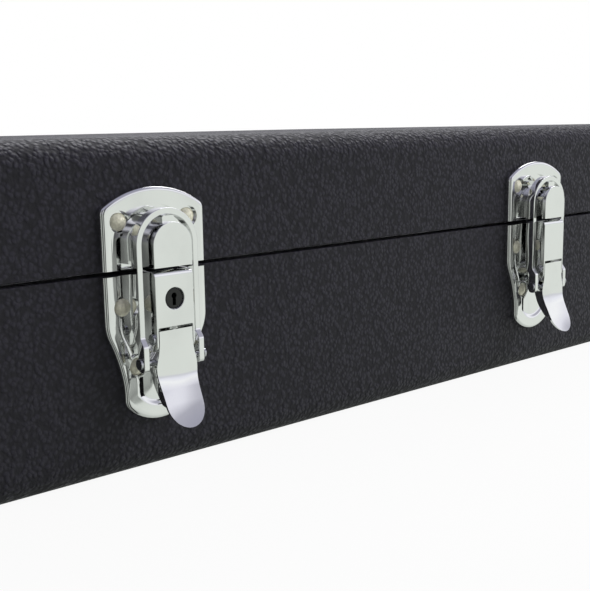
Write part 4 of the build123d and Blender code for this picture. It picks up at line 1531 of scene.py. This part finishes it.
@dataclass
class Studio:
    """The floor, the soft lights and the camera."""

    eye: Corner = (-0.011769, -0.429936, 0.110005)
    yaw: float = 39.109
    pitch: float = 9.784
    roll: float = -1.202
    sensor: float = 36.0
    focal_px: float = 955.6
    frame_px: Spot = (590.0, 591.0)
    centre_px: Spot = (264.6, 292.2)
    floor_colour: Colour = (0.5, 0.5, 0.5)
    floor_glow: float = 0.94
    ambient: float = 0.4
    aim: Corner = (0.15, -0.1, 0.05)
    bands: tuple[Spot, ...] = (
        (-180, 1.0), (-128, 0.9), (-110, 0.25), (-84, 0.1), (-70, 0.75), (-62, 0.75), (-54, 0.06),
        (-40, 0.05), (-37, 0.36), (-34.5, 0.4), (-31, 0.16), (-24, 0.05), (-18, 0.85), (-11, 0.9),
        (-6, 0.05), (9, 0.06), (18, 0.9), (40, 1.0), (84, 1.0), (104, 0.55), (140, 0.9), (180, 1.0),
    )
    rises: tuple[tuple[float, Colour], ...] = (
        (0.0, (0.5, 0.53, 0.5)), (0.3, (0.74, 0.78, 0.735)), (0.49, (0.75, 0.785, 0.745)),
        (0.53, (0.66, 0.67, 0.72)), (0.6, (0.86, 0.87, 0.95)), (0.68, (0.97, 0.98, 1.0)),
        (0.78, (0.8, 0.8, 0.88)), (0.86, (0.45, 0.45, 0.52)), (1.0, (0.35, 0.35, 0.42)),
    )

    def camera(self) -> None:
        """Sets the camera at the photograph's place and turn."""
        yaw, pitch, roll = (math.radians(a) for a in (self.yaw, self.pitch, self.roll))
        level_ahead = Vector((math.sin(yaw), math.cos(yaw), 0))
        ahead = level_ahead * math.cos(pitch) - Vector((0, 0, math.sin(pitch)))
        right = Vector((math.cos(yaw), -math.sin(yaw), 0))
        up = right.cross(ahead)
        right_turned = math.cos(roll) * right + math.sin(roll) * up
        up_turned = -math.sin(roll) * right + math.cos(roll) * up
        data = bpy.data.cameras.new("camera")
        across, tall = self.frame_px
        data.sensor_width = self.sensor
        data.lens = self.focal_px / tall * self.sensor
        data.shift_x = (across / 2 - self.centre_px[0]) / tall
        data.shift_y = (self.centre_px[1] - tall / 2) / tall
        data.clip_start = 0.01
        obj = linked("camera", data)
        axes = Matrix((right_turned, up_turned, -ahead)).transposed().to_4x4()
        obj.matrix_world = Matrix.Translation(self.eye) @ axes
        bpy.context.scene.camera = obj

    def floor(self) -> None:
        """Lays the pale floor, which only the camera sees as white."""
        bm = bmesh.new()
        bmesh.ops.create_grid(bm, x_segments=1, y_segments=1, size=6.0)
        obj = linked("floor", as_mesh("floor", bm))
        material = bpy.data.materials.new("pale floor")
        material.use_nodes = True
        g = Graph(material.node_tree)
        seen = g.node("ShaderNodeLightPath").outputs["Is Camera Ray"]
        faint = tuple(c * (1 - self.floor_glow) for c in self.floor_colour)
        g.feed(material.node_tree.nodes["Principled BSDF"], {
            "Base Color": g.mix(seen, self.floor_colour, faint),
            "Roughness": 0.9, "Specular IOR Level": 0.1, "Emission Color": (1, 1, 1, 1),
            "Emission Strength": g.math("MULTIPLY", seen, self.floor_glow),
        })
        obj.data.materials.append(material)
        obj.visible_glossy = False

    @staticmethod
    def colour_ramp(g: Graph, value: Socket, stops: Iterable[tuple[float, Colour]]) -> Socket:
        """Maps a value to colours.

        Args:
            g: The graph.
            value: The value.
            stops: The position and the colour of each stop.

        Returns:
            The colour.
        """
        made = g.node("ShaderNodeValToRGB", {"Fac": value})
        elements = made.color_ramp.elements
        elements.remove(elements[-1])
        for k, (position, colour) in enumerate(stops):
            stop = elements[0] if k == 0 else elements.new(position)
            stop.position = position
            stop.color = (*colour, 1)
        return made.outputs["Color"]

    def world(self) -> None:
        """Sets the surround: white to the eye, plain light, and a studio for the metal to mirror."""
        world = bpy.data.worlds.new("surround")
        world.use_nodes = True
        bpy.context.scene.world = world
        g = Graph(world.node_tree)
        path = g.node("ShaderNodeLightPath").outputs
        sight = g.node("ShaderNodeTexCoord").outputs["Generated"]
        parts = g.node("ShaderNodeSeparateXYZ", {0: sight}).outputs
        bearing = g.math("ARCTAN2", parts["X"], g.math("MULTIPLY", parts["Y"], -1.0))
        turn = {"Value": bearing, "From Min": -math.pi, "From Max": math.pi}
        share = g.node("ShaderNodeMapRange", turn).outputs["Result"]
        bands = self.colour_ramp(g, share, [(0.5 + a / 360, (value,) * 3) for a, value in self.bands])
        rise = self.colour_ramp(g, g.ramp(parts["Z"], -1.0, 1.0), self.rises)
        banded = g.mix(g.ramp(parts["Z"], 0.45, 0.9), bands, (0.9, 0.9, 0.95))
        mirrored = g.mix(1.0, banded, rise, "MULTIPLY")
        lit = g.mix(path["Is Glossy Ray"], (self.ambient,) * 3, mirrored)
        colour = g.mix(path["Is Camera Ray"], lit, (1.0, 1.0, 1.0))
        g.feed(world.node_tree.nodes["Background"], {"Color": colour, "Strength": 1.0})

    def lamp(self, name: str, spot: Corner, size: Spot, power: float) -> bpy.types.Object:
        """Hangs a soft box that faces the middle of the front.

        Args:
            name: The lamp's name.
            spot: Where it hangs.
            size: Its width and height.
            power: Its power, in watts.

        Returns:
            The lamp.
        """
        data = bpy.data.lights.new(name, "AREA")
        data.shape = "RECTANGLE"
        data.size, data.size_y = size
        data.energy = power
        obj = linked(name, data)
        obj.location = spot
        obj.rotation_mode = "QUATERNION"
        obj.rotation_quaternion = (Vector(self.aim) - Vector(spot)).to_track_quat("-Z", "Y")
        return obj

    def build(self) -> None:
        """Sets the stage."""
        self.camera()
        self.floor()
        self.world()
        self.lamp("key", (1.8, -1.2, 1.2), (0.9, 0.9), 33.0).visible_glossy = False
        self.lamp("top", (1.1, 0.5, 1.4), (1.8, 1.0), 21.0)
        bpy.context.scene.view_settings.view_transform = "Standard"


def main() -> None:
    """Builds the scene in order."""
    logging.basicConfig(level=logging.INFO, format="%(name)s %(message)s")
    Studio().build()
    dress_cad()
    CaseBody().build()
    Interior().build()
    for number, x, lock in LATCHES:
        Latch(number, x, lock).build()
    KeyPlug().build()
    Rivets().build()
    Handle().build()


if __name__ == "__main__":
    main()
